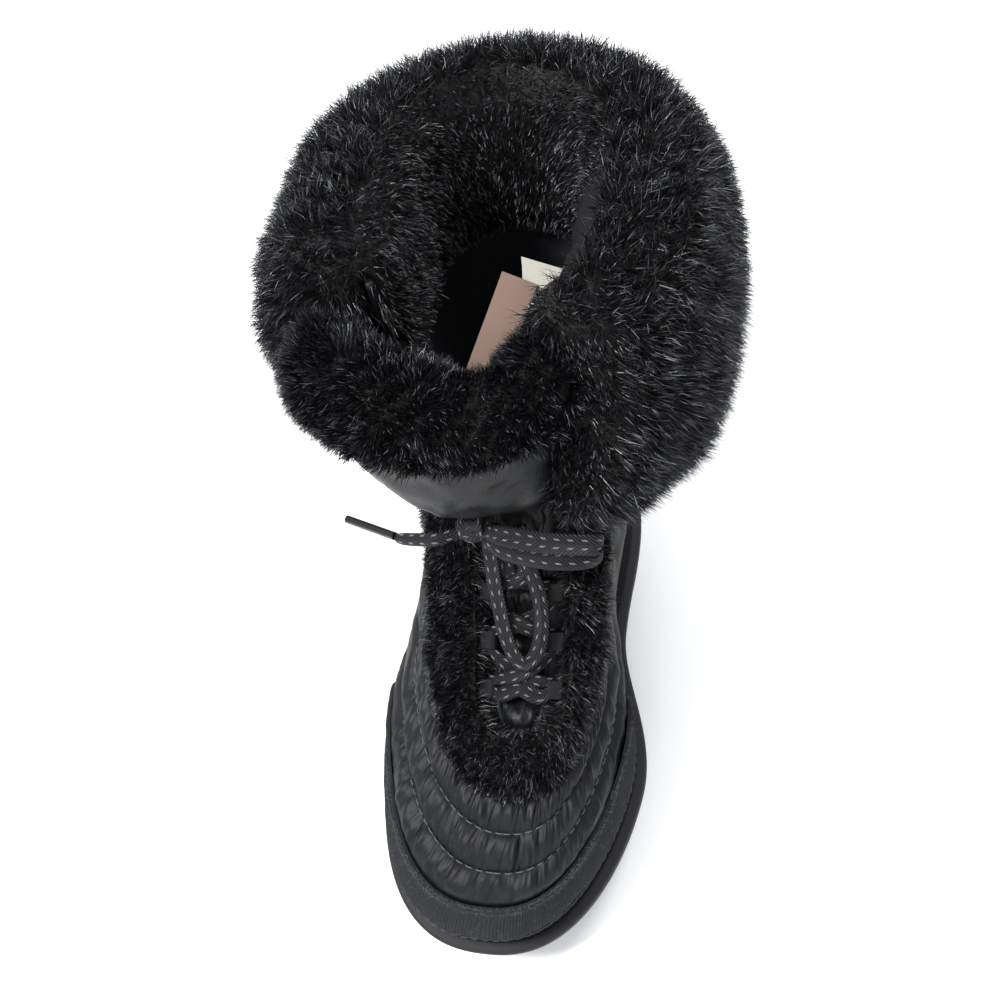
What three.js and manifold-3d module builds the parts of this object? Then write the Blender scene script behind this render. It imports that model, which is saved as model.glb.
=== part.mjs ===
// A woman's lace-up snow boot for the right foot: a quilted nylon upper with a toe mudguard, a fur
// panel over the instep, a fur cuff folded down over the shaft, a flared tongue with a fur top, flat
// laces tied in a bow, and a lugged rubber outsole. Millimetres, +Z up, toe towards -Y, the inner
// side of the foot at +X. The origin is under the middle of the boot, on the floor.
import * as THREE from "three";
import { mergeVertices } from "three/addons/utils/BufferGeometryUtils.js";
import Module from "manifold-3d";

const wasm = await Module();
wasm.setup();

// Driving dimensions
const SOLE_LENGTH = 284; // toe tip to heel back
const BALL_WIDTH = 112;
const WAIST_WIDTH = 84;
const HEEL_WIDTH = 80;
const TOE_SOLE_TOP = 27; // height of the sole edge under the toe, the waist and the heel
const WAIST_SAG = 3;
const HEEL_SOLE_TOP = 34;
const TOE_SPRING = 11;
const ANKLE_FRONT_HEIGHT = 145; // where the instep turns up into the shaft
const ANKLE_BACK_HEIGHT = 163;
const SHAFT_HEIGHT = 240;
const SHAFT_WIDTH = 84;
const SHAFT_FRONT = 2; // front and back of the shaft, along the foot
const SHAFT_BACK = 134;
const UPPER_WALL = 2.6;
const QUILT_PUFF = 2.6; // how far a quilted channel stands proud of its seams
const FIT_GAP = 0.3;
const THROAT_HALF_WIDTH = 9.5;
const MUDGUARD_THICKNESS = 1.8;
const FUR_PANEL_PILE = 6.5;
const CUFF_SIDE = 43; // fur from the shaft wall outwards, at the sides, the front and the back
const CUFF_FRONT = 26;
const CUFF_BACK = 31;
const CUFF_INNER_PILE = 10; // fur inside the rim
const CUFF_DROP = 76; // how far the cuff hangs down the shaft
const CUFF_CROWN = 11; // fur above the rim
const FUR_LOCK = 3.2; // how far a lock of fur stands out
const TONGUE_THICKNESS = 3.2;
const TONGUE_PILE = 13;
const TONGUE_FUR_DROP = 23;
const TONGUE_FLARE = 27; // how far the tongue leans out over the bow
const TONGUE_HEIGHT = 228;
const TONGUE_DIP = 8; // a dent in the tongue's top edge, and its place from -1 to 1 across it
const TONGUE_DIP_AT = 0.4;
const LUG_DEPTH = 5;
const ARCH_RISE = 4;
const HEEL_BREAST = 38; // where the heel ends and the arch begins, behind the middle
const FORE_END = -12;
const INSOLE_THICKNESS = 4;
const LACE_WIDTH = 8.5;
const LACE_THICKNESS = 2.6;
const LABEL_THICKNESS = 0.8;

const HALF_LENGTH = SOLE_LENGTH / 2;
const FRONT_RISE = ANKLE_FRONT_HEIGHT - TOE_SOLE_TOP;
const BACK_RISE = ANKLE_BACK_HEIGHT - HEEL_SOLE_TOP;

// Rings of the last from the sole edge to the ankle, then of the shaft up to the rim. front and back
// are shares of half the sole's length, frontRise and backRise of the rise to the ankle, fore, waist
// and heel of half the ball, waist and heel widths. curve is the share of the sole's bend, ridge
// moves the front towards the inner side in millimetres, and square rounds or squares the ends.
const FOOT_RINGS = [
  {
    front: 0.944, frontRise: 0, back: 0.944, backRise: 0,
    fore: 0.91, waist: 0.91, heel: 0.9, curve: 1, ridge: 0, square: 2.5,
  },
  {
    front: 0.968, frontRise: 0.12, back: 0.97, backRise: 0.12,
    fore: 0.955, waist: 1.0, heel: 0.965, curve: 1, ridge: 0, square: 2.5,
  },
  {
    front: 0.918, frontRise: 0.238, back: 0.96, backRise: 0.24,
    fore: 0.895, waist: 1.0, heel: 0.955, curve: 1, ridge: 3, square: 2.42,
  },
  {
    front: 0.84, frontRise: 0.315, back: 0.94, backRise: 0.36,
    fore: 0.81, waist: 0.985, heel: 0.935, curve: 0.9, ridge: 7, square: 2.35,
  },
  {
    front: 0.745, frontRise: 0.382, back: 0.92, backRise: 0.48,
    fore: 0.73, waist: 0.95, heel: 0.9, curve: 0.7, ridge: 9, square: 2.3,
  },
  {
    front: 0.645, frontRise: 0.437, back: 0.91, backRise: 0.58,
    fore: 0.675, waist: 0.92, heel: 0.875, curve: 0.5, ridge: 10, square: 2.25,
  },
  {
    front: 0.465, frontRise: 0.54, back: 0.9, backRise: 0.68,
    fore: 0.63, waist: 0.9, heel: 0.86, curve: 0.3, ridge: 11, square: 2.2,
  },
  {
    front: 0.285, frontRise: 0.655, back: 0.895, backRise: 0.78,
    fore: 0.63, waist: 0.915, heel: 0.87, curve: 0.15, ridge: 10, square: 2.15,
  },
  {
    front: 0.12, frontRise: 0.805, back: 0.893, backRise: 0.88,
    fore: 0.65, waist: 0.94, heel: 0.9, curve: 0.05, ridge: 8, square: 2.1,
  },
  {
    front: 0.01, frontRise: 1, back: 0.893, backRise: 1,
    fore: 0.68, waist: 0.965, heel: 0.94, curve: 0, ridge: 5, square: 2.1,
  },
];
// rise is a share of the shaft's height above the ankle, front and back of the way from the ankle
// ring to the rim, and wide a share of the shaft's width.
const SHAFT_RINGS = [
  { rise: 0.3, move: 0.2, wide: 0.965, ridge: 3 },
  { rise: 0.66, move: 0.6, wide: 0.98, ridge: 1 },
  { rise: 1, move: 1, wide: 1, ridge: 0 },
];
// The ring numbers that seams and edges follow.
const RING = { sole: 0, mudguardTop: 2, furEdge: 5, instep: 8, rim: 12 };
// Places along a ring, from -1 at its front to 1 at its back, where its widths are given.
const STATIONS = { fore: -0.5, waist: 0.06, heel: 0.6 };
// The sole bends: how far its middle lies towards the inner side of the foot at each station.
const BEND = { toe: -5, fore: -3, waist: -4, heel: 0 };

const mix = (a, b, s) => a + (b - a) * s;
const clamp = (x, lo = 0, hi = 1) => Math.min(hi, Math.max(lo, x));
const smooth = (x) => clamp(x) ** 2 * (3 - 2 * clamp(x));

function allRings() {
  const rings = FOOT_RINGS.map((r) => ({
    frontY: -r.front * HALF_LENGTH,
    frontZ: TOE_SOLE_TOP + r.frontRise * FRONT_RISE,
    backY: r.back * HALF_LENGTH,
    backZ: HEEL_SOLE_TOP + r.backRise * BACK_RISE,
    sag: WAIST_SAG * (1 - r.frontRise),
    fore: (r.fore * BALL_WIDTH) / 2,
    waist: (r.waist * WAIST_WIDTH) / 2,
    heel: (r.heel * HEEL_WIDTH) / 2,
    curve: r.curve,
    ridge: r.ridge,
    square: r.square,
  }));
  const ankle = rings[rings.length - 1];
  const rimHalf = SHAFT_WIDTH / 2;
  for (const r of SHAFT_RINGS) {
    const half = r.wide * rimHalf;
    rings.push({
      frontY: mix(ankle.frontY, SHAFT_FRONT, r.move),
      frontZ: mix(ANKLE_FRONT_HEIGHT, SHAFT_HEIGHT, r.rise),
      backY: mix(ankle.backY, SHAFT_BACK, r.move),
      backZ: mix(ANKLE_BACK_HEIGHT, SHAFT_HEIGHT, r.rise),
      sag: 0,
      fore: half * 0.93,
      waist: half,
      heel: half * 0.92,
      curve: 0,
      ridge: r.ridge,
      square: 2.1,
    });
  }
  return rings;
}
const RINGS = allRings();
const COLUMNS = Object.keys(RINGS[0]);

// A smooth curve through equally spaced values.
function through(values, t) {
  const last = values.length - 1;
  const i = Math.min(last - 1, Math.max(0, Math.floor(t)));
  const s = t - i;
  const p1 = values[i];
  const p2 = values[i + 1];
  const p0 = i > 0 ? values[i - 1] : 2 * p1 - p2;
  const p3 = i + 2 <= last ? values[i + 2] : 2 * p2 - p1;
  return p1 + 0.5 * s * (p2 - p0 + s * (2 * p0 - 5 * p1 + 4 * p2 - p3 + s * (3 * (p1 - p2) + p3 - p0)));
}
const ringAt = (t) => Object.fromEntries(COLUMNS.map((c) => [c, through(RINGS.map((r) => r[c]), t)]));

// Blends the values at the fore, waist and heel stations along a ring.
function alongRing(c, fore, waist, heel) {
  const share = (from, to) => smooth((c - from) / (to - from));
  if (c < STATIONS.waist) return mix(fore, waist, share(STATIONS.fore, STATIONS.waist));
  return mix(waist, heel, share(STATIONS.waist, STATIONS.heel));
}
const roundEnd = (c, square) => Math.max(0, 1 - Math.abs(c) ** square) ** (1 / square);

// A point of one ring. u runs once round the boot: 0 at the front, 0.25 on the inner side of the
// foot, 0.5 at the back.
function ringPoint(r, u) {
  const angle = 2 * Math.PI * u;
  const c = -Math.cos(angle);
  const width = (name) => r[name] / roundEnd(STATIONS[name], r.square);
  const half = alongRing(c, width("fore"), width("waist"), width("heel")) * roundEnd(c, r.square);
  const toeward = clamp((STATIONS.fore - c) / (1 + STATIONS.fore));
  const bend = r.curve * mix(alongRing(c, BEND.fore, BEND.waist, BEND.heel), BEND.toe, smooth(toeward));
  const x = bend + r.ridge * clamp(-c) ** 2 + Math.sign(Math.sin(angle)) * half;
  const z = mix(r.frontZ, r.backZ, (1 + c) / 2) - r.sag * (1 - c * c);
  return new THREE.Vector3(x, mix(r.frontY, r.backY, (1 + c) / 2), z);
}
const lastPoint = (u, t) => ringPoint(ringAt(t), u);

function lastNormal(u, t) {
  const du = 0.004;
  const dt = 0.03;
  const t0 = Math.max(0, t - dt);
  const t1 = Math.min(RING.rim, t + dt);
  const along = lastPoint(u + du, t).sub(lastPoint(u - du, t));
  const up = lastPoint(u, t1).sub(lastPoint(u, t0));
  return along.cross(up).normalize();
}
const offsetPoint = (u, t, out) => lastPoint(u, t).addScaledVector(lastNormal(u, t), out);

// Where the fur panel's edge and the stitch lines run: they go round the toe with the rings and then
// turn up the sides of the ankle. The field is RING.furEdge on the panel's edge and falls by one for
// each quilted channel outside it.
const PANEL_SIDE = 0.141;
const CHANNEL_TURN = 0.0455;
function quiltField(u, t) {
  const away = Math.abs(u - Math.round(u));
  const side = RING.furEdge - (away - PANEL_SIDE) / CHANNEL_TURN;
  const blend = 0.55;
  const h = clamp(0.5 + (0.5 * (side - t)) / blend);
  return mix(side, t, h) - blend * h * (1 - h);
}
function quiltPuff(u, t) {
  const q = quiltField(u, t);
  const fade = smooth((t - RING.mudguardTop + 0.3) / 0.5) * smooth((RING.furEdge - q) / 0.2);
  const channel = Math.abs(Math.sin(Math.PI * Math.max(q, 1))) ** 0.7;
  return QUILT_PUFF * fade * (q > 1 ? channel : 0.6);
}
const upperPoint = (u, t, out) => offsetPoint(u, t, out + quiltPuff(u, t));

// The u of the point that lies x millimetres to the inner side of the front of ring t.
function turnAtX(t, x) {
  const r = ringAt(t);
  const front = ringPoint(r, 0).x;
  let lo = 0;
  let hi = 0.25;
  for (let i = 0; i < 30; i++) {
    const mid = (lo + hi) / 2;
    const reach = Math.abs(ringPoint(r, Math.sign(x) * mid).x - front);
    if (reach < Math.abs(x)) lo = mid;
    else hi = mid;
  }
  return Math.sign(x) * lo;
}

// Makes a geometry of points and triangles.
function meshOf(points, faces) {
  const geometry = new THREE.BufferGeometry();
  const values = points.flatMap((p) => [p.x, p.y, p.z]);
  geometry.setAttribute("position", new THREE.Float32BufferAttribute(values, 3));
  geometry.setIndex(faces.flat());
  return geometry;
}

// Closes a grid of points that goes round a loop: ring i, place j. Its two ends are closed by cap,
// which lists the triangles of a ring's place numbers, or left open for a grid that closes itself.
function loopLoft(rings, cap) {
  const n = rings[0].length;
  const points = rings.flat();
  const faces = [];
  for (let i = 0; i + 1 < rings.length; i++)
    for (let j = 0; j < n; j++) {
      const a = i * n + j;
      const b = i * n + ((j + 1) % n);
      faces.push([a, b, b + n], [a, b + n, a + n]);
    }
  const end = (rings.length - 1) * n;
  for (const [a, b, c] of cap ? cap : []) faces.push([c, b, a], [a + end, b + end, c + end]);
  return meshOf(points, faces);
}
// Closes a ring that starts at the toe straight across, like the rungs of a ladder.
function ladderCap(n) {
  const faces = [[0, 1, n - 1]];
  for (let j = 1; j < n / 2 - 1; j++) faces.push([j, j + 1, n - j], [j + 1, n - j - 1, n - j]);
  faces.push([n / 2 - 1, n / 2, n / 2 + 1]);
  return faces;
}
// Closes a ring of any outline, given as points of a plane.
const outlineCap = (outline) => THREE.ShapeUtils.triangulateShape(outline, []);

// A wall between an outer and an inner sheet of points, both nu by nv, closed along its four edges.
function wallPatch(outer, inner, nu, nv) {
  const points = [];
  const faces = [];
  for (const sheet of [outer, inner])
    for (let j = 0; j <= nv; j++) for (let i = 0; i <= nu; i++) points.push(sheet(i / nu, j / nv));
  const side = (nu + 1) * (nv + 1);
  const at = (i, j) => j * (nu + 1) + i;
  for (let j = 0; j < nv; j++)
    for (let i = 0; i < nu; i++) {
      const [a, b, c, d] = [at(i, j), at(i + 1, j), at(i + 1, j + 1), at(i, j + 1)];
      faces.push([a, b, c], [a, c, d]);
      faces.push([a + side, c + side, b + side], [a + side, d + side, c + side]);
    }
  const edge = (a, b) => faces.push([a, a + side, b + side], [a, b + side, b]);
  for (let i = 0; i < nu; i++) {
    edge(at(i, 0), at(i + 1, 0));
    edge(at(i + 1, nv), at(i, nv));
  }
  for (let j = 0; j < nv; j++) {
    edge(at(nu, j), at(nu, j + 1));
    edge(at(0, j + 1), at(0, j));
  }
  return meshOf(points, faces);
}

function toSolid(geometry) {
  const bare = geometry.index ? geometry.toNonIndexed() : geometry.clone();
  const plain = new THREE.BufferGeometry().setAttribute("position", bare.getAttribute("position"));
  const merged = mergeVertices(plain, 1e-4);
  const made = new wasm.Manifold(
    new wasm.Mesh({
      numProp: 3,
      vertProperties: new Float32Array(merged.attributes.position.array),
      triVerts: new Uint32Array(merged.index.array),
    }),
  );
  if (made.volume() >= 0) return made;
  const turned = merged.index.array.slice();
  for (let i = 0; i < turned.length; i += 3) {
    [turned[i + 1], turned[i + 2]] = [turned[i + 2], turned[i + 1]];
  }
  return new wasm.Manifold(
    new wasm.Mesh({
      numProp: 3,
      vertProperties: new Float32Array(merged.attributes.position.array),
      triVerts: new Uint32Array(turned),
    }),
  );
}
function toGeometry(solid) {
  const mesh = solid.getMesh();
  const geometry = new THREE.BufferGeometry();
  geometry.setAttribute("position", new THREE.BufferAttribute(mesh.vertProperties.slice(), 3));
  geometry.setIndex(new THREE.BufferAttribute(mesh.triVerts.slice(), 1));
  geometry.computeVertexNormals();
  return geometry;
}

const boot = new THREE.Group();
boot.name = "snow_boot";
const MATERIALS = {
  nylon: { color: 0x1b1b1e, roughness: 0.55, metalness: 0 },
  mudguard: { color: 0x242529, roughness: 0.9, metalness: 0 },
  fur: { color: 0x0f0f11, roughness: 0.85, metalness: 0 },
  rubber: { color: 0x151517, roughness: 0.7, metalness: 0 },
  lining: { color: 0x232327, roughness: 0.95, metalness: 0 },
  lace: { color: 0x1a1a1d, roughness: 0.75, metalness: 0 },
  webbing: { color: 0x17171a, roughness: 0.7, metalness: 0 },
  aglet: { color: 0x3a3436, roughness: 0.25, metalness: 0 },
  label: { color: 0xd8ccb4, roughness: 0.8, metalness: 0 },
};
function addPiece(name, solid, material) {
  const mesh = new THREE.Mesh(toGeometry(solid), new THREE.MeshStandardMaterial(MATERIALS[material]));
  mesh.name = name;
  boot.add(mesh);
}

// Outsole: a moulded rubber unit with a smooth lip, a ribbed side wall, toe spring, arch and heel.
const SOLE_TURNS = 40;
const SOLE_LIP_HEIGHT = 7;
const SOLE_LIP_REACH = 1.6;
const FLAT_FRONT = -92; // the sole starts to rise towards the toe here
function floorRise(y) {
  const toe = TOE_SPRING * clamp((FLAT_FRONT - y) / (HALF_LENGTH + FLAT_FRONT)) ** 1.6;
  const heel = 2.5 * clamp((y - (HALF_LENGTH - 22)) / 22) ** 2;
  return toe + heel;
}
// The height of the sole's top at y.
function seatHeight(y) {
  const r = RINGS[0];
  const c = (2 * (y - r.frontY)) / (r.backY - r.frontY) - 1;
  return mix(r.frontZ, r.backZ, (1 + c) / 2) - r.sag * (1 - c * c);
}
// How far the bottom of the body stands above the tread plane at y.
function archRise(y) {
  const into = smooth((y - FORE_END) / 16) * (1 - smooth((y - HEEL_BREAST + 4) / 8));
  return ARCH_RISE * into;
}
// A ring of the sole: out widens it past the upper's edge, and level says how high it lies, from 0
// at the tread to 1 at the top edge.
function soleRing(out, level, turns = SOLE_TURNS) {
  const edge = ringAt(RING.sole);
  const ring = [];
  for (let j = 0; j < turns; j++) {
    const u = j / turns;
    const top = ringPoint(edge, u);
    const ahead = ringPoint(edge, u + 0.004).sub(ringPoint(edge, u - 0.004)).setZ(0);
    const outward = new THREE.Vector3(ahead.y, -ahead.x, 0).normalize();
    const p = top.clone().addScaledVector(outward, out);
    const low = floorRise(p.y) + LUG_DEPTH + archRise(p.y);
    ring.push(p.setZ(mix(low, seatHeight(p.y) - FIT_GAP, level)));
  }
  return ring;
}
const WALL_DRAFT = 3.1; // how far the wall comes in from the lip down to the tread
function soleBody() {
  const reach = HALF_LENGTH - RINGS[0].backY;
  const lipLevel = 1 - SOLE_LIP_HEIGHT / (TOE_SOLE_TOP - LUG_DEPTH);
  return toSolid(
    loopLoft([
      soleRing(-14, 0),
      soleRing(reach - 1.4 - WALL_DRAFT, 0),
      soleRing(reach - 1.4 - WALL_DRAFT * 0.5, 0.14),
      soleRing(reach - 1.4, lipLevel),
      soleRing(reach, lipLevel + 0.05),
      soleRing(reach, 1 - 0.1),
      soleRing(reach - SOLE_LIP_REACH, 1),
      soleRing(-14, 1),
    ], ladderCap(SOLE_TURNS)),
  );
}
// A block that stands on its middle, turned about Z, made by three.js.
function block(width, depth, height, x, y, z, turn = 0) {
  const geometry = new THREE.BoxGeometry(width, depth, height);
  geometry.rotateZ(turn);
  geometry.translate(x, y, z);
  return toSolid(geometry);
}
// Half the sole's width at y, on the inner (+1) or the outer (-1) side.
function soleHalf(y, side) {
  const edge = ringAt(RING.sole);
  let lo = 0;
  let hi = 0.5;
  for (let i = 0; i < 26; i++) {
    const mid = (lo + hi) / 2;
    if (ringPoint(edge, side * mid).y < y) lo = mid;
    else hi = mid;
  }
  return ringPoint(edge, side * lo).x;
}
// Tread: rows of lugs across the forefoot and the heel. pitch is the spacing of the rows.
const TREAD_ZONES = [
  { from: -128, to: -22, pitch: 17.5, lug: 12.5, across: 5, slant: 0.26 },
  { from: 48, to: 126, pitch: 18.5, lug: 13, across: 4, slant: -0.26 },
];
const LUG_GAP = 4.5;
const LUG_ROOT = 2; // how far a lug reaches up into the body
const LUG_INSET = 0.6; // the tread's edge lies this far inside the wall's foot
function treadLugs() {
  const lugs = [];
  const rim = soleRing(HALF_LENGTH - RINGS[0].backY - 1.4 - WALL_DRAFT - LUG_INSET, 0);
  const column = [-20, 40].map((z) => rim.map((p) => new THREE.Vector3(p.x, p.y, z)));
  const outline = toSolid(loopLoft(column, ladderCap(SOLE_TURNS)));
  for (const zone of TREAD_ZONES)
    for (let y = zone.from; y <= zone.to; y += zone.pitch) {
      const inner = soleHalf(y, 1) + 0.5;
      const outer = soleHalf(y, -1) - 0.5;
      const count = Math.max(2, Math.round(((inner - outer) / BALL_WIDTH) * zone.across));
      const step = (inner - outer) / count;
      for (let k = 0; k < count; k++) {
        const x = outer + (k + 0.5) * step;
        const depth = LUG_DEPTH + LUG_ROOT;
        const turn = zone.slant * (k % 2 ? 1 : -1);
        const lug = block(step - LUG_GAP, zone.lug, depth, x, y, floorRise(y) + depth / 2, turn);
        lugs.push(lug.intersect(outline));
      }
    }
  return lugs;
}
// Slanted ribs round the side wall, in pairs that meet like an arrow.
const RIB_COUNT = 24;
const RIB_WIDTH = 3;
const RIB_PROUD = 0.9;
function sideRibs() {
  const ribs = [];
  const edge = ringAt(RING.sole);
  const reach = HALF_LENGTH - RINGS[0].backY;
  for (let k = 0; k < RIB_COUNT; k++) {
    const u = (k + 0.5) / RIB_COUNT;
    const top = ringPoint(edge, u);
    const ahead = ringPoint(edge, u + 0.004).sub(ringPoint(edge, u - 0.004)).setZ(0).normalize();
    const outward = new THREE.Vector3(ahead.y, -ahead.x, 0);
    const low = floorRise(top.y) + LUG_DEPTH + archRise(top.y);
    const high = top.z - SOLE_LIP_HEIGHT;
    const rib = new THREE.BoxGeometry(RIB_WIDTH, 6, (high - low) * 0.86);
    rib.rotateY((k % 2 ? 1 : -1) * 0.42);
    rib.rotateX(-Math.atan2(WALL_DRAFT, high - low)); // leans in with the wall
    rib.applyMatrix4(new THREE.Matrix4().makeBasis(ahead, outward, new THREE.Vector3(0, 0, 1)));
    const middle = top.clone().addScaledVector(outward, reach - 1.4 - WALL_DRAFT / 2 - 3 + RIB_PROUD);
    rib.translate(middle.x, middle.y, mix(low, high, 0.52));
    ribs.push(toSolid(rib));
  }
  return ribs;
}
addPiece("outsole", [...treadLugs(), ...sideRibs()].reduce((sum, s) => sum.add(s), soleBody()), "rubber");

// Insole: a flat padded sheet inside the upper, on the sole.
function insole() {
  const edge = ringAt(RING.sole);
  const ring = (lift, inset) => {
    const points = [];
    for (let j = 0; j < 32; j++) {
      const p = ringPoint(edge, j / 32);
      const inward = new THREE.Vector3(-p.x, -p.y * 0.35, 0).normalize();
      p.addScaledVector(inward, UPPER_WALL + inset);
      points.push(p.setZ(seatHeight(p.y) + lift));
    }
    return points;
  };
  const low = FIT_GAP;
  const high = low + INSOLE_THICKNESS;
  const rings = [ring(low, 2.4), ring(mix(low, high, 0.5), 1.9), ring(high, 3.2)];
  return toSolid(loopLoft(rings, ladderCap(32)));
}
addPiece("insole", insole(), "lining");

// Throat: the slot over the instep that opens into a V up the front of the shaft.
const SLOT_START = 5.8;
const V_START = 8.5;
const V_END = 10.6;
const V_INNER_HALF = 37;
const V_OUTER_HALF = 38;
function slotHalf(t, side, extra) {
  const opening = smooth((t - V_START) / (V_END - V_START));
  const start = Math.sqrt(clamp((t - SLOT_START) / 0.35));
  const wide = side > 0 ? V_INNER_HALF : V_OUTER_HALF;
  return mix(THROAT_HALF_WIDTH * mix(0.25, 1, start), wide, opening) + extra;
}
function slotCutter(extra) {
  const top = RING.rim + 0.4;
  const sheet = (out) => (a, b) => {
    const t = mix(SLOT_START, top, b);
    const row = Math.min(t, RING.rim);
    const s = a * 2 - 1;
    const side = Math.sign(s) || 1;
    const turn = turnAtX(row, side * slotHalf(t, side, extra)) * Math.abs(s);
    const p = offsetPoint(turn, row, out);
    return p.setZ(p.z + (t - row) * 60);
  };
  return toSolid(wallPatch(sheet(22), sheet(-9), 10, 22));
}

// Upper: one hollow nylon wall, open underneath, at the throat and at the collar.
const UPPER_TURNS = 40;
const UPPER_ROWS = [0, 1, 2, 2.5, 3, 3.5, 4, 4.5, 5, 5.6, 6.3, 7, 7.6, 8.3, 9, 10, 11, 12];
const upperRing = (t, out) =>
  Array.from({ length: UPPER_TURNS }, (_, j) => upperPoint(j / UPPER_TURNS, t, out));
// The wall, made thicker on every side by grow.
function upperShell(grow = 0) {
  const outer = UPPER_ROWS.map((t) => upperRing(t, grow));
  const inner = UPPER_ROWS.map((t) => upperRing(t, -UPPER_WALL - grow)).reverse();
  const loops = [...outer, ...inner];
  for (const p of [...outer[outer.length - 1], ...inner[0]]) p.z += grow;
  for (const p of [...outer[0], ...inner[inner.length - 1]]) p.z -= grow;
  return toSolid(loopLoft([...loops, loops[0]]));
}
// The whole form inside the wall's outer face.
function upperForm(grow) {
  const rings = UPPER_ROWS.map((t) => upperRing(t, grow));
  for (const p of rings[0]) p.z -= 8;
  return toSolid(loopLoft(rings, ladderCap(UPPER_TURNS)));
}
addPiece("upper", upperShell().subtract(slotCutter(0)), "nylon");
const CLEAR_WALL = upperShell(FIT_GAP);
const CLEAR_FORM = upperForm(FIT_GAP);

// Mudguard: a coarse fabric band round the toe, ending in a raised round corner on each side.
const MUDGUARD_END = 0.205;
const MUDGUARD_RISE = 0.3;
function mudguard() {
  const sheet = (out) => (a, b) => {
    const s = a * 2 - 1;
    const corner = clamp((Math.abs(s) - 0.93) / 0.07);
    const raise = MUDGUARD_RISE * smooth((Math.abs(s) - 0.62) / 0.25);
    const top = RING.mudguardTop + raise - (RING.mudguardTop - 1) * (1 - Math.sqrt(1 - corner ** 2));
    return upperPoint(s * MUDGUARD_END, mix(0.06, top, b), out);
  };
  return toSolid(wallPatch(sheet(FIT_GAP + MUDGUARD_THICKNESS), sheet(-1), 32, 3));
}
addPiece("mudguard", mudguard().subtract(CLEAR_FORM), "mudguard");

// Locks of fur: every other point of a fur face stands out and leans downwards.
function lock(i, j, strength = 1) {
  const uneven = 0.75 + 0.25 * Math.sin(i * 2.3 + j * 1.7);
  return (i + j) % 2 ? FUR_LOCK * strength * uneven : 0;
}

// Fur panel: a U of fur over the instep on both sides of the throat, up to the cuff.
const PANEL_TOP = 10.2;
const PANEL_ACROSS = 21;
const PANEL_UP = 12;
function furPanel() {
  const place = (a, b) => {
    const s = a * 2 - 1;
    const corner = 1 - (1 - Math.abs(s) ** 2.6) ** (1 / 2.6);
    const start = RING.furEdge + 1.25 * corner;
    return [s * PANEL_SIDE, mix(start, PANEL_TOP, b)];
  };
  const outer = (a, b) => {
    const [u, t] = place(a, b);
    const i = Math.round(a * PANEL_ACROSS);
    const j = Math.round(b * PANEL_UP);
    const rim = Math.min(i, PANEL_ACROSS - i, j, PANEL_UP - j);
    const pile = rim === 0 ? FUR_PANEL_PILE * 0.45 : FUR_PANEL_PILE;
    return offsetPoint(u, t, FIT_GAP + pile + (rim > 0 ? lock(i, j, 0.7) : 0));
  };
  const inner = (a, b) => offsetPoint(...place(a, b), -1);
  return toSolid(wallPatch(outer, inner, PANEL_ACROSS, PANEL_UP));
}

const PANEL_THROAT_MARGIN = 7; // the bare edge of the throat that carries the lace loops
addPiece("fur_panel", furPanel().subtract(CLEAR_FORM).subtract(slotCutter(PANEL_THROAT_MARGIN)), "fur");

// Tongue: a padded nylon sheet under the throat that flares out over the bow and stands up to the
// fur at its top. half is its half width, cup how far its edges lie behind its middle, lean the
// share of the flare, middle where its centre line lies across the foot.
const TONGUE_ROWS = [
  { rise: 0.12, half: 16, cup: 4, lean: 0.34, middle: 2 },
  { rise: 0.34, half: 33, cup: 14, lean: 0.92, middle: -6 },
  { rise: 0.58, half: 41, cup: 21, lean: 1, middle: -11 },
  { rise: 0.8, half: 43, cup: 23, lean: 0.8, middle: -12 },
  { rise: 1, half: 43, cup: 22, lean: 0.45, middle: -12 },
];
const TONGUE_FOOT_ROWS = [5.45, 6.1, 6.8, 7.6, 8.4];
const TONGUE_FOOT_HALF = 15;
const TONGUE_COLUMNS = 8;
function tongueRows() {
  const rows = [];
  for (const t of TONGUE_FOOT_ROWS) {
    const row = [];
    for (let k = 0; k <= TONGUE_COLUMNS; k++) {
      const s = (2 * k) / TONGUE_COLUMNS - 1;
      const turn = turnAtX(t, (Math.sign(s) || 1) * TONGUE_FOOT_HALF) * Math.abs(s);
      row.push(offsetPoint(turn, t, -UPPER_WALL - FIT_GAP * 2 - TONGUE_THICKNESS / 2));
    }
    rows.push(row);
  }
  for (const r of TONGUE_ROWS) {
    const row = [];
    const y = SHAFT_FRONT + 4 - TONGUE_FLARE * r.lean;
    const height = mix(ANKLE_FRONT_HEIGHT, TONGUE_HEIGHT, r.rise);
    for (let k = 0; k <= TONGUE_COLUMNS; k++) {
      const s = (2 * k) / TONGUE_COLUMNS - 1;
      const dip = TONGUE_DIP * r.rise ** 3 * Math.exp(-(((s - TONGUE_DIP_AT) / 0.3) ** 2));
      row.push(new THREE.Vector3(r.middle + s * r.half, y + r.cup * s * s, height - dip));
    }
    rows.push(row);
  }
  return rows;
}
const TONGUE_GRID = tongueRows();
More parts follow.
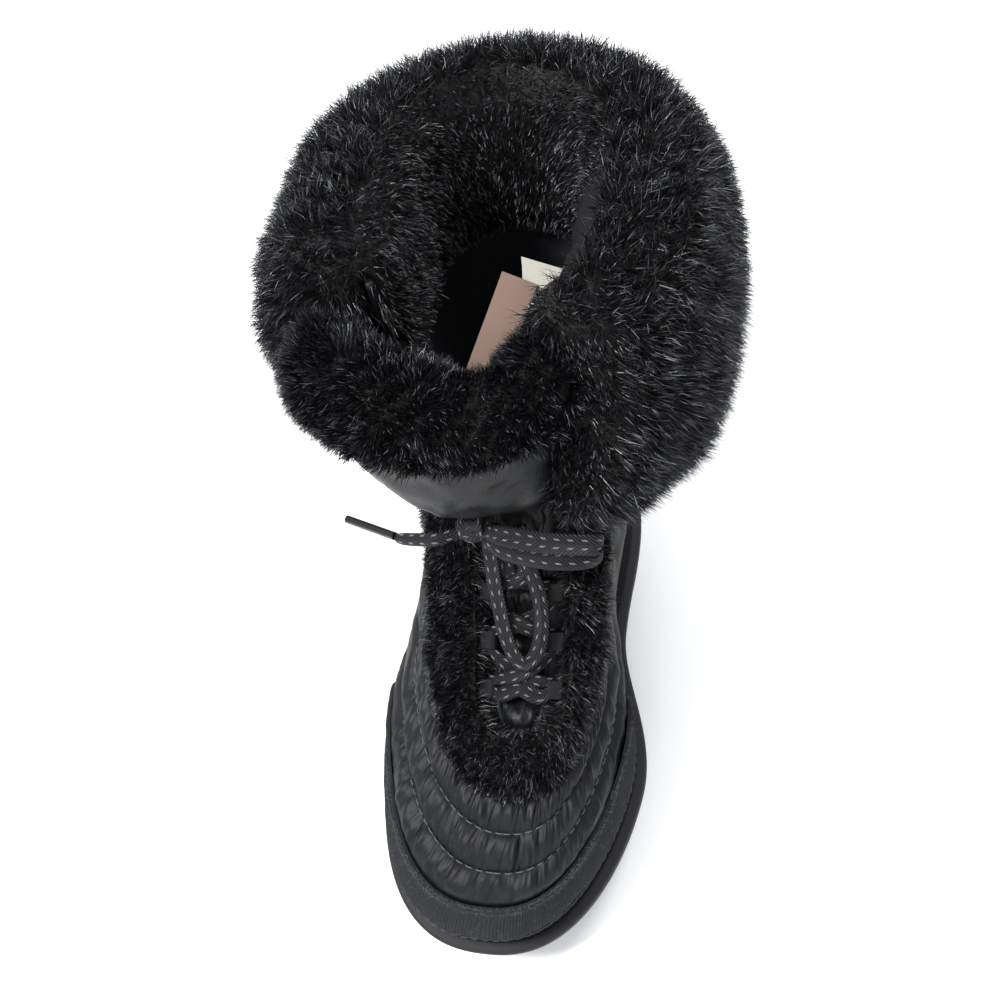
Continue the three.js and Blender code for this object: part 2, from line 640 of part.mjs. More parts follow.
// A point of the tongue's middle sheet: a across from -1 to 1, b up from 0 to 1.
function tonguePoint(a, b, out) {
  const at = (aa, bb) => {
    const column = ((aa + 1) / 2) * TONGUE_COLUMNS;
    const row = bb * (TONGUE_GRID.length - 1);
    const read = (axis) => through(TONGUE_GRID.map((r) => through(r.map((p) => p[axis]), column)), row);
    return new THREE.Vector3(read("x"), read("y"), read("z"));
  };
  const across = at(a + 0.02, b).sub(at(a - 0.02, b));
  const up = at(a, b + 0.01).sub(at(a, b - 0.01));
  return at(a, b).addScaledVector(across.cross(up).normalize(), out);
}
function tongue(extra = 0) {
  const half = TONGUE_THICKNESS / 2 + extra;
  const reach = 1 + extra / TONGUE_FOOT_HALF;
  const above = extra / 100;
  const sheet = (out) => (a, b) => tonguePoint((a * 2 - 1) * reach, mix(-above, 1 + above, b), out);
  return toSolid(wallPatch(sheet(half), sheet(-half), 12, 16));
}
const CLEAR_SLOTTED = CLEAR_WALL.subtract(slotCutter(-FIT_GAP * 2.5));
addPiece("tongue", tongue().subtract(CLEAR_SLOTTED), "nylon");


// A fur roll hooked over an edge. out and drop are shares of the fur's thickness and of how far it
// hangs on the outside; the inner limb uses the inner pile and its own drop.
const HOOK_OUTSIDE = [
  { out: 0.3, drop: 1.02 },
  { out: 0.72, drop: 0.99 },
  { out: 0.93, drop: 0.82 },
  { out: 1.0, drop: 0.6 },
  { out: 1.0, drop: 0.38 },
  { out: 0.9, drop: 0.17 },
];
const HOOK_TOP = [
  { out: 0.66, rise: 0.45 },
  { out: 0.3, rise: 0.95 },
  { out: 0.0, rise: 1.0 },
];
const HOOK_INSIDE = [
  { out: 0.75, drop: -0.05 },
  { out: 1.0, drop: 0.4 },
  { out: 0.85, drop: 0.85 },
];

// Cuff: fur folded out over the rim and down the shaft, open at the front. Its inner-side flap comes
// further round the front than its outer-side flap, and further still at its lower corner.
const CUFF_TURNS = 41;
const CUFF_END_INNER = { top: 27, bottom: 13 };
const CUFF_END_OUTER = { top: 40, bottom: 34 };
const CUFF_INSIDE_DROP = { inner: 14, outer: 60 };
const CUFF_GROOVE_ROWS = 3;
// The ring number at which the wall lies drop millimetres under the rim, at the turn u.
function ringAtDrop(u, drop) {
  let lo = RING.instep;
  let hi = RING.rim;
  for (let i = 0; i < 20; i++) {
    const mid = (lo + hi) / 2;
    if (lastPoint(u, mid).z < SHAFT_HEIGHT - drop) lo = mid;
    else hi = mid;
  }
  return lo;
}
function cuffTurn(v, low = 0) {
  const from = turnAtX(RING.rim, mix(CUFF_END_INNER.top, CUFF_END_INNER.bottom, low));
  const to = 1 + turnAtX(RING.rim, -mix(CUFF_END_OUTER.top, CUFF_END_OUTER.bottom, low));
  return mix(from, to, v);
}
const rimFacing = (u) => lastNormal(u, RING.rim - 0.5).setZ(0).normalize();
function cuff() {
  const rimNormal = (v) => rimFacing(cuffTurn(v));
  const place = (v, drop, out) => {
    const u = cuffTurn(v, clamp(drop / CUFF_DROP));
    const p = upperPoint(u, drop > 0 ? ringAtDrop(u, drop) : RING.rim, 0);
    return p.addScaledVector(rimFacing(u), out).setZ(SHAFT_HEIGHT - drop);
  };
  const rings = [];
  const outline = [];
  for (let i = 0; i <= CUFF_TURNS; i++) {
    const v = i / CUFF_TURNS;
    const end = clamp((Math.abs(2 * v - 1) - 0.9) / 0.1);
    const full = Math.sqrt(1 - (0.92 * end) ** 2);
    const inside = mix(CUFF_INSIDE_DROP.inner, CUFF_INSIDE_DROP.outer, smooth((v - 0.22) / 0.2));
    const facing = rimNormal(v);
    const thick = mix(facing.y > 0 ? CUFF_BACK : CUFF_FRONT, CUFF_SIDE, facing.x ** 2) * full;
    const ring = [];
    const add = (drop, out) => {
      ring.push(place(v, drop, out));
      if (i === 0) outline.push(new THREE.Vector2(out, -drop));
    };
    HOOK_OUTSIDE.forEach((h, j) => {
      const swell = end > 0.99 ? 0 : lock(i, j);
      add(h.drop * CUFF_DROP, FIT_GAP + h.out * thick - FUR_LOCK / 2 + swell);
    });
    HOOK_TOP.forEach((h, j) => {
      const swell = end > 0.99 ? 0 : lock(i, j, 0.5);
      add(-h.rise * CUFF_CROWN * full - FIT_GAP - swell, mix(-UPPER_WALL / 2, thick, h.out));
    });
    HOOK_INSIDE.forEach((h) => add(h.drop * inside, -UPPER_WALL - h.out * CUFF_INNER_PILE * full));
    for (let k = 0; k < CUFF_GROOVE_ROWS; k++)
      add(mix(inside, CUFF_DROP, k / (CUFF_GROOVE_ROWS - 1)), -UPPER_WALL / 2);
    rings.push(ring);
  }
  return toSolid(loopLoft(rings, outlineCap(outline)));
}
// The space that the fur panel takes, so that the cuff stops short of it.
function furPanelClearance() {
  const reach = PANEL_SIDE + 0.012;
  const sheet = (out) => (a, b) => offsetPoint((a * 2 - 1) * reach, mix(8.6, PANEL_TOP + 0.12, b), out);
  return toSolid(wallPatch(sheet(FUR_PANEL_PILE + FUR_LOCK + FIT_GAP), sheet(-1), 12, 5));
}

// Tongue fur: a fur top hooked over the tongue's edge. drop is a share of how far it hangs, out a
// share of the pile in front of (+) and behind (-) the tongue.
const TONGUE_FUR_ROWS = [
  { drop: 1.0, out: 0.3 },
  { drop: 1.04, out: 0.75 },
  { drop: 0.82, out: 1.0 },
  { drop: 0.5, out: 1.05 },
  { drop: 0.2, out: 1.0 },
  { drop: -0.08, out: 0.85 },
  { drop: -0.3, out: 0.45 },
  { drop: -0.35, out: -0.1 },
  { drop: -0.22, out: -0.6 },
  { drop: 0.1, out: -0.85 },
  { drop: 0.5, out: -0.85 },
  { drop: 0.8, out: -0.7 },
  { drop: 0.9, out: 0 },
];
const TONGUE_FUR_COLUMNS = 22;
const TONGUE_FUR_REACH = 1.06;
const TONGUE_ARC = 176; // how long the tongue is over its rows, so that a drop can be measured
function tongueFur(extra = 0) {
  const rings = [];
  const outline = TONGUE_FUR_ROWS.map((r) => new THREE.Vector2(r.out, -r.drop));
  for (let i = 0; i <= TONGUE_FUR_COLUMNS; i++) {
    const s = (i / TONGUE_FUR_COLUMNS) * 2 - 1;
    const end = clamp((Math.abs(s) - 0.84) / 0.16);
    const full = Math.sqrt(1 - (0.9 * end) ** 2);
    rings.push(
      TONGUE_FUR_ROWS.map((r, j) => {
        const swell = end > 0.99 || j === TONGUE_FUR_ROWS.length - 1 ? 0 : lock(i, j, 0.6);
        const grow = extra * (r.out < 0 ? -1 : 1);
        const drop = (r.drop - 0.3) * mix(0.6, 1, full) + 0.3 + (r.drop > 0.3 ? extra : -extra) / 18;
        const b = 1 - (drop * TONGUE_FUR_DROP + (r.drop < 0 ? -swell : 0)) / TONGUE_ARC;
        const out = r.out * TONGUE_PILE * full + Math.sign(r.out) * (r.drop > 0 ? swell : 0) + grow;
        return tonguePoint(s * (TONGUE_FUR_REACH + extra / 40), b, out);
      }),
    );
  }
  return toSolid(loopLoft(rings, outlineCap(outline)));
}
const CLEAR_TONGUE = tongue(FIT_GAP * 1.5);
addPiece("tongue_fur", tongueFur().subtract(CLEAR_TONGUE).subtract(CLEAR_SLOTTED), "fur");
const cuffCut = cuff().subtract(CLEAR_WALL).subtract(CLEAR_TONGUE).subtract(furPanelClearance());
addPiece("cuff", cuffCut.subtract(tongueFur(1.2)), "fur");

// Lace loops: folded webbing sewn to both edges of the throat, with the lace run through it.
const LOOP_ROWS = [6.35, 7.05, 7.75];
const LOOP_ACROSS = 12.8; // from the middle of the throat to a loop's middle
const LOOP_LENGTH = 7;
const LOOP_LIFT = 0.9; // off the curved wall, at a loop's middle
const LOOP_OUTSIDE = { wide: 6.6, tall: 5.8 };
const LOOP_HOLE = { wide: 4.4, tall: 3.6 };
function frameAt(x, t) {
  const u = turnAtX(t, x);
  const normal = lastNormal(u, t);
  const up = lastPoint(u, t + 0.05).sub(lastPoint(u, t - 0.05)).normalize();
  const across = up.clone().cross(normal).normalize();
  return { u, normal, across, along: normal.clone().cross(across) };
}
const roundRectangle = (path, wide, tall, lift) => {
  const [w, r] = [wide / 2, 1];
  path.moveTo(-w + r, lift).lineTo(w - r, lift).quadraticCurveTo(w, lift, w, lift + r);
  path.lineTo(w, lift + tall - r).quadraticCurveTo(w, lift + tall, w - r, lift + tall);
  path.lineTo(-w + r, lift + tall).quadraticCurveTo(-w, lift + tall, -w, lift + tall - r);
  return path.lineTo(-w, lift + r).quadraticCurveTo(-w, lift, -w + r, lift);
};
// A loop of webbing x off the throat's middle at ring t, its material made thicker by grow.
function webbing(x, t, grow) {
  const { u, normal, across, along } = frameAt(x, t);
  const { wide, tall } = LOOP_OUTSIDE;
  const outline = roundRectangle(new THREE.Shape(), wide + 2 * grow, tall + 2 * grow, -grow);
  const lift = (tall - LOOP_HOLE.tall) / 2;
  const hole = { wide: LOOP_HOLE.wide - 2 * grow, tall: LOOP_HOLE.tall - 2 * grow };
  outline.holes.push(roundRectangle(new THREE.Path(), hole.wide, hole.tall, lift + grow));
  const depth = LOOP_LENGTH + 2 * grow;
  const loop = new THREE.ExtrudeGeometry(outline, { depth, bevelEnabled: false, curveSegments: 1 });
  loop.translate(0, 0, -depth / 2);
  loop.applyMatrix4(new THREE.Matrix4().makeBasis(across, normal, along.clone().negate()));
  const at = offsetPoint(u, t, LOOP_LIFT);
  return toSolid(loop.translate(at.x, at.y, at.z));
}
LOOP_ROWS.forEach((t, row) => {
  for (const side of [1, -1]) {
    const name = `lace_loop_${side > 0 ? "inner" : "outer"}_${row + 1}`;
    addPiece(name, webbing(side * LOOP_ACROSS, t, 0), "webbing");
  }
});

// A flat strap along a path of { at, normal, wide, thick }.
const STRAP_SECTION = [[1, 0], [0.75, 1], [-0.75, 1], [-1, 0], [-0.75, -1], [0.75, -1]];
function strap(path) {
  const rings = path.map((p, i) => {
    const before = path[Math.max(0, i - 1)].at;
    const after = path[Math.min(path.length - 1, i + 1)].at;
    const ahead = after.clone().sub(before).normalize();
    const side = ahead.clone().cross(p.normal).normalize();
    const face = side.clone().cross(ahead).normalize();
    return STRAP_SECTION.map(([a, b]) =>
      p.at.clone().addScaledVector(side, (a * p.wide) / 2).addScaledVector(face, (b * p.thick) / 2),
    );
  });
  return toSolid(loopLoft(rings, outlineCap(STRAP_SECTION.map(([a, b]) => new THREE.Vector2(a, b)))));
}
// Smooth steps through stops with the same columns.
function smoothStops(stops, each) {
  const steps = [];
  for (let i = 0; i <= (stops.length - 1) * each; i++) {
    const read = (column) => through(stops.map((r) => r[column]), i / each);
    steps.push(Object.fromEntries(Object.keys(stops[0]).map((c) => [c, read(c)])));
  }
  return steps;
}
// Stops on the boot's front: x across from the throat's middle, t the ring, out above the surface.
const onFront = (stops, each) =>
  smoothStops(stops, each).map(({ x, t, out, wide, thick }) => {
    const u = turnAtX(t, x || 0.001);
    return { at: offsetPoint(u, t, out), normal: lastNormal(u, t), wide, thick };
  });

// Lace crossings: one lace up through the loops of both sides, and a bar across the lowest pair.
const IN_LOOP = { out: LOOP_LIFT + LOOP_OUTSIDE.tall / 2, wide: 3.2, thick: 2.2 };
const OVER = { out: 5.6, wide: 6.4, thick: 2 };
function laceCrossings() {
  const side = (sign, lift) => {
    const stops = [];
    LOOP_ROWS.forEach((t, row) => {
      const x = (row % 2 ? -1 : 1) * sign * LOOP_ACROSS;
      stops.push({ x, t: t - 0.1, ...IN_LOOP }, { x, t: t + 0.1, ...IN_LOOP });
      stops.push({ x: 0, t: t + 0.35, ...OVER, out: OVER.out + lift });
    });
    stops[stops.length - 1].x = -2 * sign;
    stops.push({ x: -3.5 * sign, t: 8.6, ...OVER, out: 7 }, { x: -4 * sign, t: 9.1, ...OVER, out: 8.5 });
    return strap(onFront(stops, 2));
  };
  const low = LOOP_ROWS[0] - 0.1;
  const bar = [
    { x: -LOOP_ACROSS, t: low, ...IN_LOOP },
    { x: -7.5, t: low - 0.02, ...OVER, out: 4.6 },
    { x: 0, t: low + 0.08, ...OVER, out: 5.2 },
    { x: 7.5, t: low - 0.02, ...OVER, out: 4.6 },
    { x: LOOP_ACROSS, t: low, ...IN_LOOP },
  ];
  return side(1, 0).add(side(-1, 0.9)).add(strap(onFront(bar, 2)));
}

// The knot in front of the tongue, the bow's loops and the free end with its aglet.
const KNOT = { across: -0.12, up: 0.615, out: 7.6, size: [8, 5.2, 5.4] };
const KNOT_AT = tonguePoint(KNOT.across, KNOT.up, KNOT.out);
function knot(grow) {
  const geometry = new THREE.SphereGeometry(1, 12, 8);
  geometry.scale(...KNOT.size.map((r) => r + grow));
  geometry.rotateX(0.3);
  return toSolid(geometry.translate(KNOT_AT.x, KNOT_AT.y, KNOT_AT.z));
}
const CLEAR_KNOT = knot(FIT_GAP);
const loopMaterial = (t, side) => webbing(side * LOOP_ACROSS, t, FIT_GAP);
const CLEAR_LOOPS = LOOP_ROWS.flatMap((t) => [loopMaterial(t, 1), loopMaterial(t, -1)]);
const laceCut = CLEAR_LOOPS.reduce((lace, loop) => lace.subtract(loop), laceCrossings());
addPiece("lace_crossings", laceCut.subtract(CLEAR_KNOT), "lace");
addPiece("lace_knot", knot(0), "lace");

// Stops measured from the knot, with the way the lace's flat side faces.
const fromKnot = (stops, each) =>
  smoothStops(stops, each).map((p) => ({
    at: KNOT_AT.clone().add(new THREE.Vector3(p.x, p.y, p.z)),
    normal: new THREE.Vector3(p.nx, p.ny, p.nz).normalize(),
    wide: LACE_WIDTH * p.wide,
    thick: LACE_THICKNESS,
  }));
const BOW_STOPS = [
  { x: 3, y: -1, z: 2, nx: 0, ny: -0.5, nz: 0.86, wide: 0.6 },
  { x: 15, y: -9, z: 9, nx: 0, ny: -0.5, nz: 0.86, wide: 1 },
  { x: 32, y: -13, z: 12, nx: 0.1, ny: -0.5, nz: 0.86, wide: 1 },
  { x: 46, y: -13, z: 12, nx: 0.5, ny: -0.5, nz: 0.7, wide: 1 },
  { x: 50, y: -11, z: 9, nx: 1, ny: 0, nz: 0, wide: 1 },
  { x: 46, y: -9, z: 6, nx: 0.5, ny: 0.5, nz: -0.7, wide: 1 },
  { x: 32, y: -9, z: 4, nx: 0, ny: 0.5, nz: -0.86, wide: 1 },
  { x: 15, y: -6, z: 1, nx: 0, ny: 0.5, nz: -0.86, wide: 1 },
  { x: 3, y: -1, z: -1, nx: 0, ny: 0.5, nz: -0.86, wide: 0.6 },
];
addPiece("bow_loop", strap(fromKnot(BOW_STOPS, 3)).subtract(CLEAR_KNOT), "lace");
const END_STOPS = [
  { x: -3, y: -1, z: 0, nx: 0, ny: -0.5, nz: 0.86, wide: 0.6 },
  { x: -14, y: -7, z: 1, nx: 0, ny: -0.5, nz: 0.86, wide: 0.9 },
  { x: -27, y: -5, z: -3, nx: 0, ny: -0.5, nz: 0.86, wide: 0.7 },
  { x: -31, y: -3, z: -5, nx: 0, ny: -0.5, nz: 0.86, wide: 0.4 },
];
const lastEnd = END_STOPS[END_STOPS.length - 1];
addPiece("lace_end", strap(fromKnot(END_STOPS, 4)).subtract(CLEAR_KNOT), "lace");
const AGLET_LENGTH = 24;
const AGLET_DIAMETER = 3.4;
function aglet() {
  const way = new THREE.Vector3(-23, 9, -3).normalize();
  const geometry = new THREE.CylinderGeometry(AGLET_DIAMETER / 2, AGLET_DIAMETER / 2, AGLET_LENGTH, 12);
  geometry.applyQuaternion(new THREE.Quaternion().setFromUnitVectors(new THREE.Vector3(0, 1, 0), way));
  const start = KNOT_AT.clone().add(new THREE.Vector3(lastEnd.x, lastEnd.y, lastEnd.z));
  const middle = start.addScaledVector(way, AGLET_LENGTH / 2 + FIT_GAP * 3);
  return toSolid(geometry.translate(middle.x, middle.y, middle.z));
}
addPiece("aglet", aglet(), "aglet");
const DROP_STOPS = [
  { x: -5, t: 9.2, out: 11.2, wide: 6, thick: 2.2 },
  { x: -7, t: 8.6, out: 10.8, wide: 6.4, thick: 2.2 },
  { x: -7, t: 7.9, out: 10.6, wide: 6.4, thick: 2.2 },
  { x: -4, t: 7.2, out: 10.6, wide: 6.4, thick: 2.2 },
  { x: 2, t: 6.85, out: 10.6, wide: 6, thick: 2.2 },
  { x: 7, t: 7.1, out: 10.6, wide: 6.4, thick: 2.2 },
  { x: 7.5, t: 7.7, out: 10.6, wide: 6.4, thick: 2.2 },
  { x: 4, t: 8.5, out: 10.8, wide: 6.4, thick: 2.2 },
  { x: 2.5, t: 9.2, out: 11.2, wide: 6, thick: 2.2 },
];
addPiece("drop_loop", strap(onFront(DROP_STOPS, 3)).subtract(CLEAR_KNOT), "lace");

// Labels: two bare fabric tags in the opening. drop is how far a tag's middle lies below the rim, and
// way is the direction in which the tag stands up.
const LABELS = [
  {
    name: "size_label",
    x: 2.3,
    y: 23,
    drop: 32,
    way: [0.34, 0.8, 0.55],
    face: [0.2, -0.55, 0.8],
    wide: 15,
    tall: 54,
  },
  {
    name: "care_label",
    x: 27.2,
    y: 45,
    drop: 27,
    way: [0.15, 0.25, 0.9],
    face: [-0.6, -0.6, 0.4],
    wide: 17,
    tall: 24,
  },
];
for (const label of LABELS) {
  const up = new THREE.Vector3(...label.way).normalize();
  const side = up.clone().cross(new THREE.Vector3(...label.face)).normalize();
  const geometry = new THREE.BoxGeometry(label.wide, label.tall, LABEL_THICKNESS);
  geometry.applyMatrix4(new THREE.Matrix4().makeBasis(side, up, side.clone().cross(up)));
  addPiece(label.name, toSolid(geometry.translate(label.x, label.y, SHAFT_HEIGHT - label.drop)), "label");
}

const bounds = new THREE.Box3().setFromObject(boot);
const middle = bounds.getCenter(new THREE.Vector3());
boot.position.set(-middle.x, -middle.y, -bounds.min.z);
boot.updateMatrixWorld(true);
export default boot;
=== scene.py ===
import bpy
import math
import numpy as np
from mathutils import Vector, Matrix
from mathutils.bvhtree import BVHTree


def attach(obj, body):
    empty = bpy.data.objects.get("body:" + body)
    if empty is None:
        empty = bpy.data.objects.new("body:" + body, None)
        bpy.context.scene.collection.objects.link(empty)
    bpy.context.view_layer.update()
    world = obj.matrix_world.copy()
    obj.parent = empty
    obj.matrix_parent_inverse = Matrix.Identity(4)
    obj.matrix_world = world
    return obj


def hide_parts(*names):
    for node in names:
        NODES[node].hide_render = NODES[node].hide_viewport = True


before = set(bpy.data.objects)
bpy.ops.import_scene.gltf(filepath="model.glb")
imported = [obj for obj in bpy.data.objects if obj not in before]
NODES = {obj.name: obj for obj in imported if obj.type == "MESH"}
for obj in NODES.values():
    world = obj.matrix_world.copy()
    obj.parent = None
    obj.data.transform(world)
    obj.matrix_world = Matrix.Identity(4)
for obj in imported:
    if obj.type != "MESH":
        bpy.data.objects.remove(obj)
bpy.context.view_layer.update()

# Camera. It stands where a phone was held: above and in front of the toe, looking down over the bow
# into the collar, with the boot in the middle of the picture.
CAMERA_AT = (0.0869, -0.2387, 0.503)
CAMERA_RIGHT = (0.97902546, 0.14032678, -0.14770766)
CAMERA_UP = (-0.0361863, 0.83322788, 0.55174437)
CAMERA_AHEAD = (-0.20049865, 0.53482679, -0.82082921)
cam_data = bpy.data.cameras.new("camera")
cam_data.lens = 39.2
cam_data.sensor_width = 36
cam_data.clip_start = 0.01
cam_data.dof.use_dof = False
camera = bpy.data.objects.new("camera", cam_data)
bpy.context.scene.collection.objects.link(camera)
turn = Matrix((CAMERA_RIGHT, CAMERA_UP, [-c for c in CAMERA_AHEAD])).transposed().to_4x4()
camera.matrix_world = Matrix.Translation(CAMERA_AT) @ turn
bpy.context.scene.camera = camera


# Floor and light. A white sheet under the boot, a bright even room, and a large soft window above
# the left shoulder that puts a dull shine on the nylon and glints on the fur's tips.
def linear(hex_code):
    """An sRGB hex colour as linear red, green and blue."""
    parts = [int(hex_code[i : i + 2], 16) / 255 for i in (1, 3, 5)]
    return [p / 12.92 if p <= 0.04045 else ((p + 0.055) / 1.055) ** 2.4 for p in parts]


def node(material, kind, at=None, **inputs):
    """Adds a shader node and sets its inputs: a node's output joins it, anything else is a value."""
    made = material.node_tree.nodes.new(kind)
    for name, value in (at or {}).items():
        setattr(made, name, value)
    for name, value in inputs.items():
        key = int(name[1:]) if name[0] == "i" and name[1:].isdigit() else name.replace("_", " ")
        if isinstance(value, bpy.types.NodeSocket):
            material.node_tree.links.new(value, made.inputs[key])
        else:
            made.inputs[key].default_value = value
    return made


def new_material(name):
    """A material with only its output, and that output's surface socket."""
    material = bpy.data.materials.new(name)
    material.use_nodes = True
    material.node_tree.nodes.clear()
    out = material.node_tree.nodes.new("ShaderNodeOutputMaterial")
    return material, out.inputs["Surface"]


def principled(material, surface, colour, roughness, **inputs):
    """The material's own shader. colour is a hex code or the socket of a pattern."""
    base = colour if isinstance(colour, bpy.types.NodeSocket) else [*linear(colour), 1]
    shader = node(material, "ShaderNodeBsdfPrincipled", Base_Color=base, Roughness=roughness, **inputs)
    material.node_tree.links.new(shader.outputs[0], surface)
    return shader


floor_mesh = bpy.data.meshes.new("floor")
floor_mesh.from_pydata([(-3, -3, 0), (3, -3, 0), (3, 3, 0), (-3, 3, 0)], [], [(0, 1, 2, 3)])
floor = bpy.data.objects.new("floor", floor_mesh)
floor.location.z = -0.0002
bpy.context.scene.collection.objects.link(floor)
floor_paper, floor_surface = new_material("white backdrop paper")
principled(floor_paper, floor_surface, "#f4f4f4", 0.9)
floor_mesh.materials.append(floor_paper)

world = bpy.data.worlds.new("room")
bpy.context.scene.world = world
world.use_nodes = True
world.node_tree.nodes["Background"].inputs[0].default_value = (0.93, 0.96, 1, 1)
world.node_tree.nodes["Background"].inputs[1].default_value = 0.85
LIGHTS = [
    ("window", (-0.5, -0.3, 1.0), 0.32, 19),
    ("ceiling lamp", (0.35, 0.55, 1.1), 0.5, 9),
    ("room behind the camera", (0.25, -1.0, 0.45), 0.7, 6),
]
for light_name, place, size, power in LIGHTS:
    lamp = bpy.data.lights.new(light_name, "AREA")
    lamp.size = size
    lamp.energy = power
    lamp_object = bpy.data.objects.new(light_name, lamp)
    lamp_object.location = place
    aim = Vector((0, 0, 0.1)) - Vector(place)
    lamp_object.rotation_euler = aim.to_track_quat("-Z", "Y").to_euler()
    bpy.context.scene.collection.objects.link(lamp_object)
bpy.context.scene.view_settings.view_transform = "Standard"
bpy.context.scene.view_settings.exposure = 0.0


# Nylon shell. Black nylon taffeta over thin wadding, sewn down in curved channels round the toe and
# up the sides, so that it puffs between the seams and gathers along them. The form is the last's:
# rings from the sole's edge to the rim, in millimetres.
SHIFT = np.array([0.127, -11.2039, 0.0])  # from the last's middle to the boot's
HALF_LENGTH, BALL, WAIST, HEEL = 142.0, 112.0, 84.0, 80.0
TOE_TOP, HEEL_TOP, WAIST_SAG = 27, 34, 3  # the sole's upper edge
ANKLE_FRONT, ANKLE_BACK, RIM = 145, 163, 240  # heights above the floor
SHAFT_FRONT, SHAFT_BACK, SHAFT_HALF = 2, 134, 42
SOLE_BEND, TOE_BEND = (-3.0, -4.0, 0.0), -5
RING_COLUMNS = "front front_rise back back_rise fore waist heel bend ridge square".split()
FOOT_RINGS = [
    (0.944, 0.0, 0.944, 0.0, 0.91, 0.91, 0.9, 1, 0, 2.5),
    (0.968, 0.12, 0.97, 0.12, 0.955, 1.0, 0.965, 1, 0, 2.5),
    (0.918, 0.238, 0.96, 0.24, 0.895, 1.0, 0.955, 1, 3, 2.42),
    (0.84, 0.315, 0.94, 0.36, 0.81, 0.985, 0.935, 0.9, 7, 2.35),
    (0.745, 0.382, 0.92, 0.48, 0.73, 0.95, 0.9, 0.7, 9, 2.3),
    (0.645, 0.437, 0.91, 0.58, 0.675, 0.92, 0.875, 0.5, 10, 2.25),
    (0.465, 0.54, 0.9, 0.68, 0.63, 0.9, 0.86, 0.3, 11, 2.2),
    (0.285, 0.655, 0.895, 0.78, 0.63, 0.915, 0.87, 0.15, 10, 2.15),
    (0.12, 0.805, 0.893, 0.88, 0.65, 0.94, 0.9, 0.05, 8, 2.1),
    (0.01, 1.0, 0.893, 1.0, 0.68, 0.965, 0.94, 0, 5, 2.1),
]
SHAFT_RINGS = [(0.3, 0.2, 0.965, 3), (0.66, 0.6, 0.98, 1), (1, 1, 1, 0)]
STATIONS = (-0.5, 0.06, 0.6)  # where the fore, waist and heel widths lie, from -1 to 1
FUR_EDGE, RIM_RING = 5, 12  # the rings at the fur panel's edge and at the rim
PANEL_SIDE, CHANNEL_TURN, QUILT_PUFF = 0.141, 0.0455, 2.6
THROAT_END, THROAT_HALF, RIM_INNER, RIM_OUTER = 5.8, 9.5, 37, 38


def all_rings():
    """The rings as columns: front y and z, back y and z, sag, half widths, bend, ridge, squareness."""
    rows = []
    for r in FOOT_RINGS:
        f = dict(zip(RING_COLUMNS, r))
        front, front_z = -f["front"] * HALF_LENGTH, TOE_TOP + f["front_rise"] * (ANKLE_FRONT - TOE_TOP)
        back, back_z = f["back"] * HALF_LENGTH, HEEL_TOP + f["back_rise"] * (ANKLE_BACK - HEEL_TOP)
        halves = (f["fore"] * BALL / 2, f["waist"] * WAIST / 2, f["heel"] * HEEL / 2)
        sag = WAIST_SAG * (1 - f["front_rise"])
        rows.append((front, front_z, back, back_z, sag, *halves, f["bend"], f["ridge"], f["square"]))
    ankle = rows[-1]
    for rise, move, wide, ridge in SHAFT_RINGS:
        front = ankle[0] + (SHAFT_FRONT - ankle[0]) * move
        back = ankle[2] + (SHAFT_BACK - ankle[2]) * move
        front_z = ANKLE_FRONT + (RIM - ANKLE_FRONT) * rise
        back_z = ANKLE_BACK + (RIM - ANKLE_BACK) * rise
        half = SHAFT_HALF * wide
        rows.append((front, front_z, back, back_z, 0, half * 0.93, half, half * 0.92, 0, ridge, 2.1))
    return np.array(rows, float)


RINGS = all_rings()


def curve(p0, p1, p2, p3, s):
    """A smooth curve from p1 to p2, which comes from p0 and goes on to p3."""
    return p1 + 0.5 * s * (p2 - p0 + s * (2 * p0 - 5 * p1 + 4 * p2 - p3 + s * (3 * (p1 - p2) + p3 - p0)))


def through(values, t):
    """A smooth curve through equally spaced rows of values, read at t."""
    last = len(values) - 1
    i = np.clip(np.floor(t).astype(int), 0, last - 1)
    s = (t - i)[..., None] if values.ndim > 1 else t - i
    p1, p2 = values[i], values[i + 1]
    edge0, edge3 = i == 0, i + 2 > last
    p0, p3 = values[np.maximum(i - 1, 0)], values[np.minimum(i + 2, last)]
    if values.ndim > 1:
        edge0, edge3 = edge0[..., None], edge3[..., None]
    return curve(np.where(edge0, 2 * p1 - p2, p0), p1, p2, np.where(edge3, 2 * p2 - p1, p3), s)


def smooth(x):
    """A soft step from 0 to 1."""
    x = np.clip(x, 0, 1)
    return x * x * (3 - 2 * x)


def round_end(c, square):
    """How the outline closes at its ends: 1 in the middle, 0 at -1 and 1."""
    return np.maximum(0, 1 - np.abs(c) ** square) ** (1 / square)


def along_ring(c, fore, waist, heel):
    """Blends the values at the fore, waist and heel stations."""
    first = fore + (waist - fore) * smooth((c - STATIONS[0]) / (STATIONS[1] - STATIONS[0]))
    second = waist + (heel - waist) * smooth((c - STATIONS[1]) / (STATIONS[2] - STATIONS[1]))
    return np.where(c < STATIONS[1], first, second)


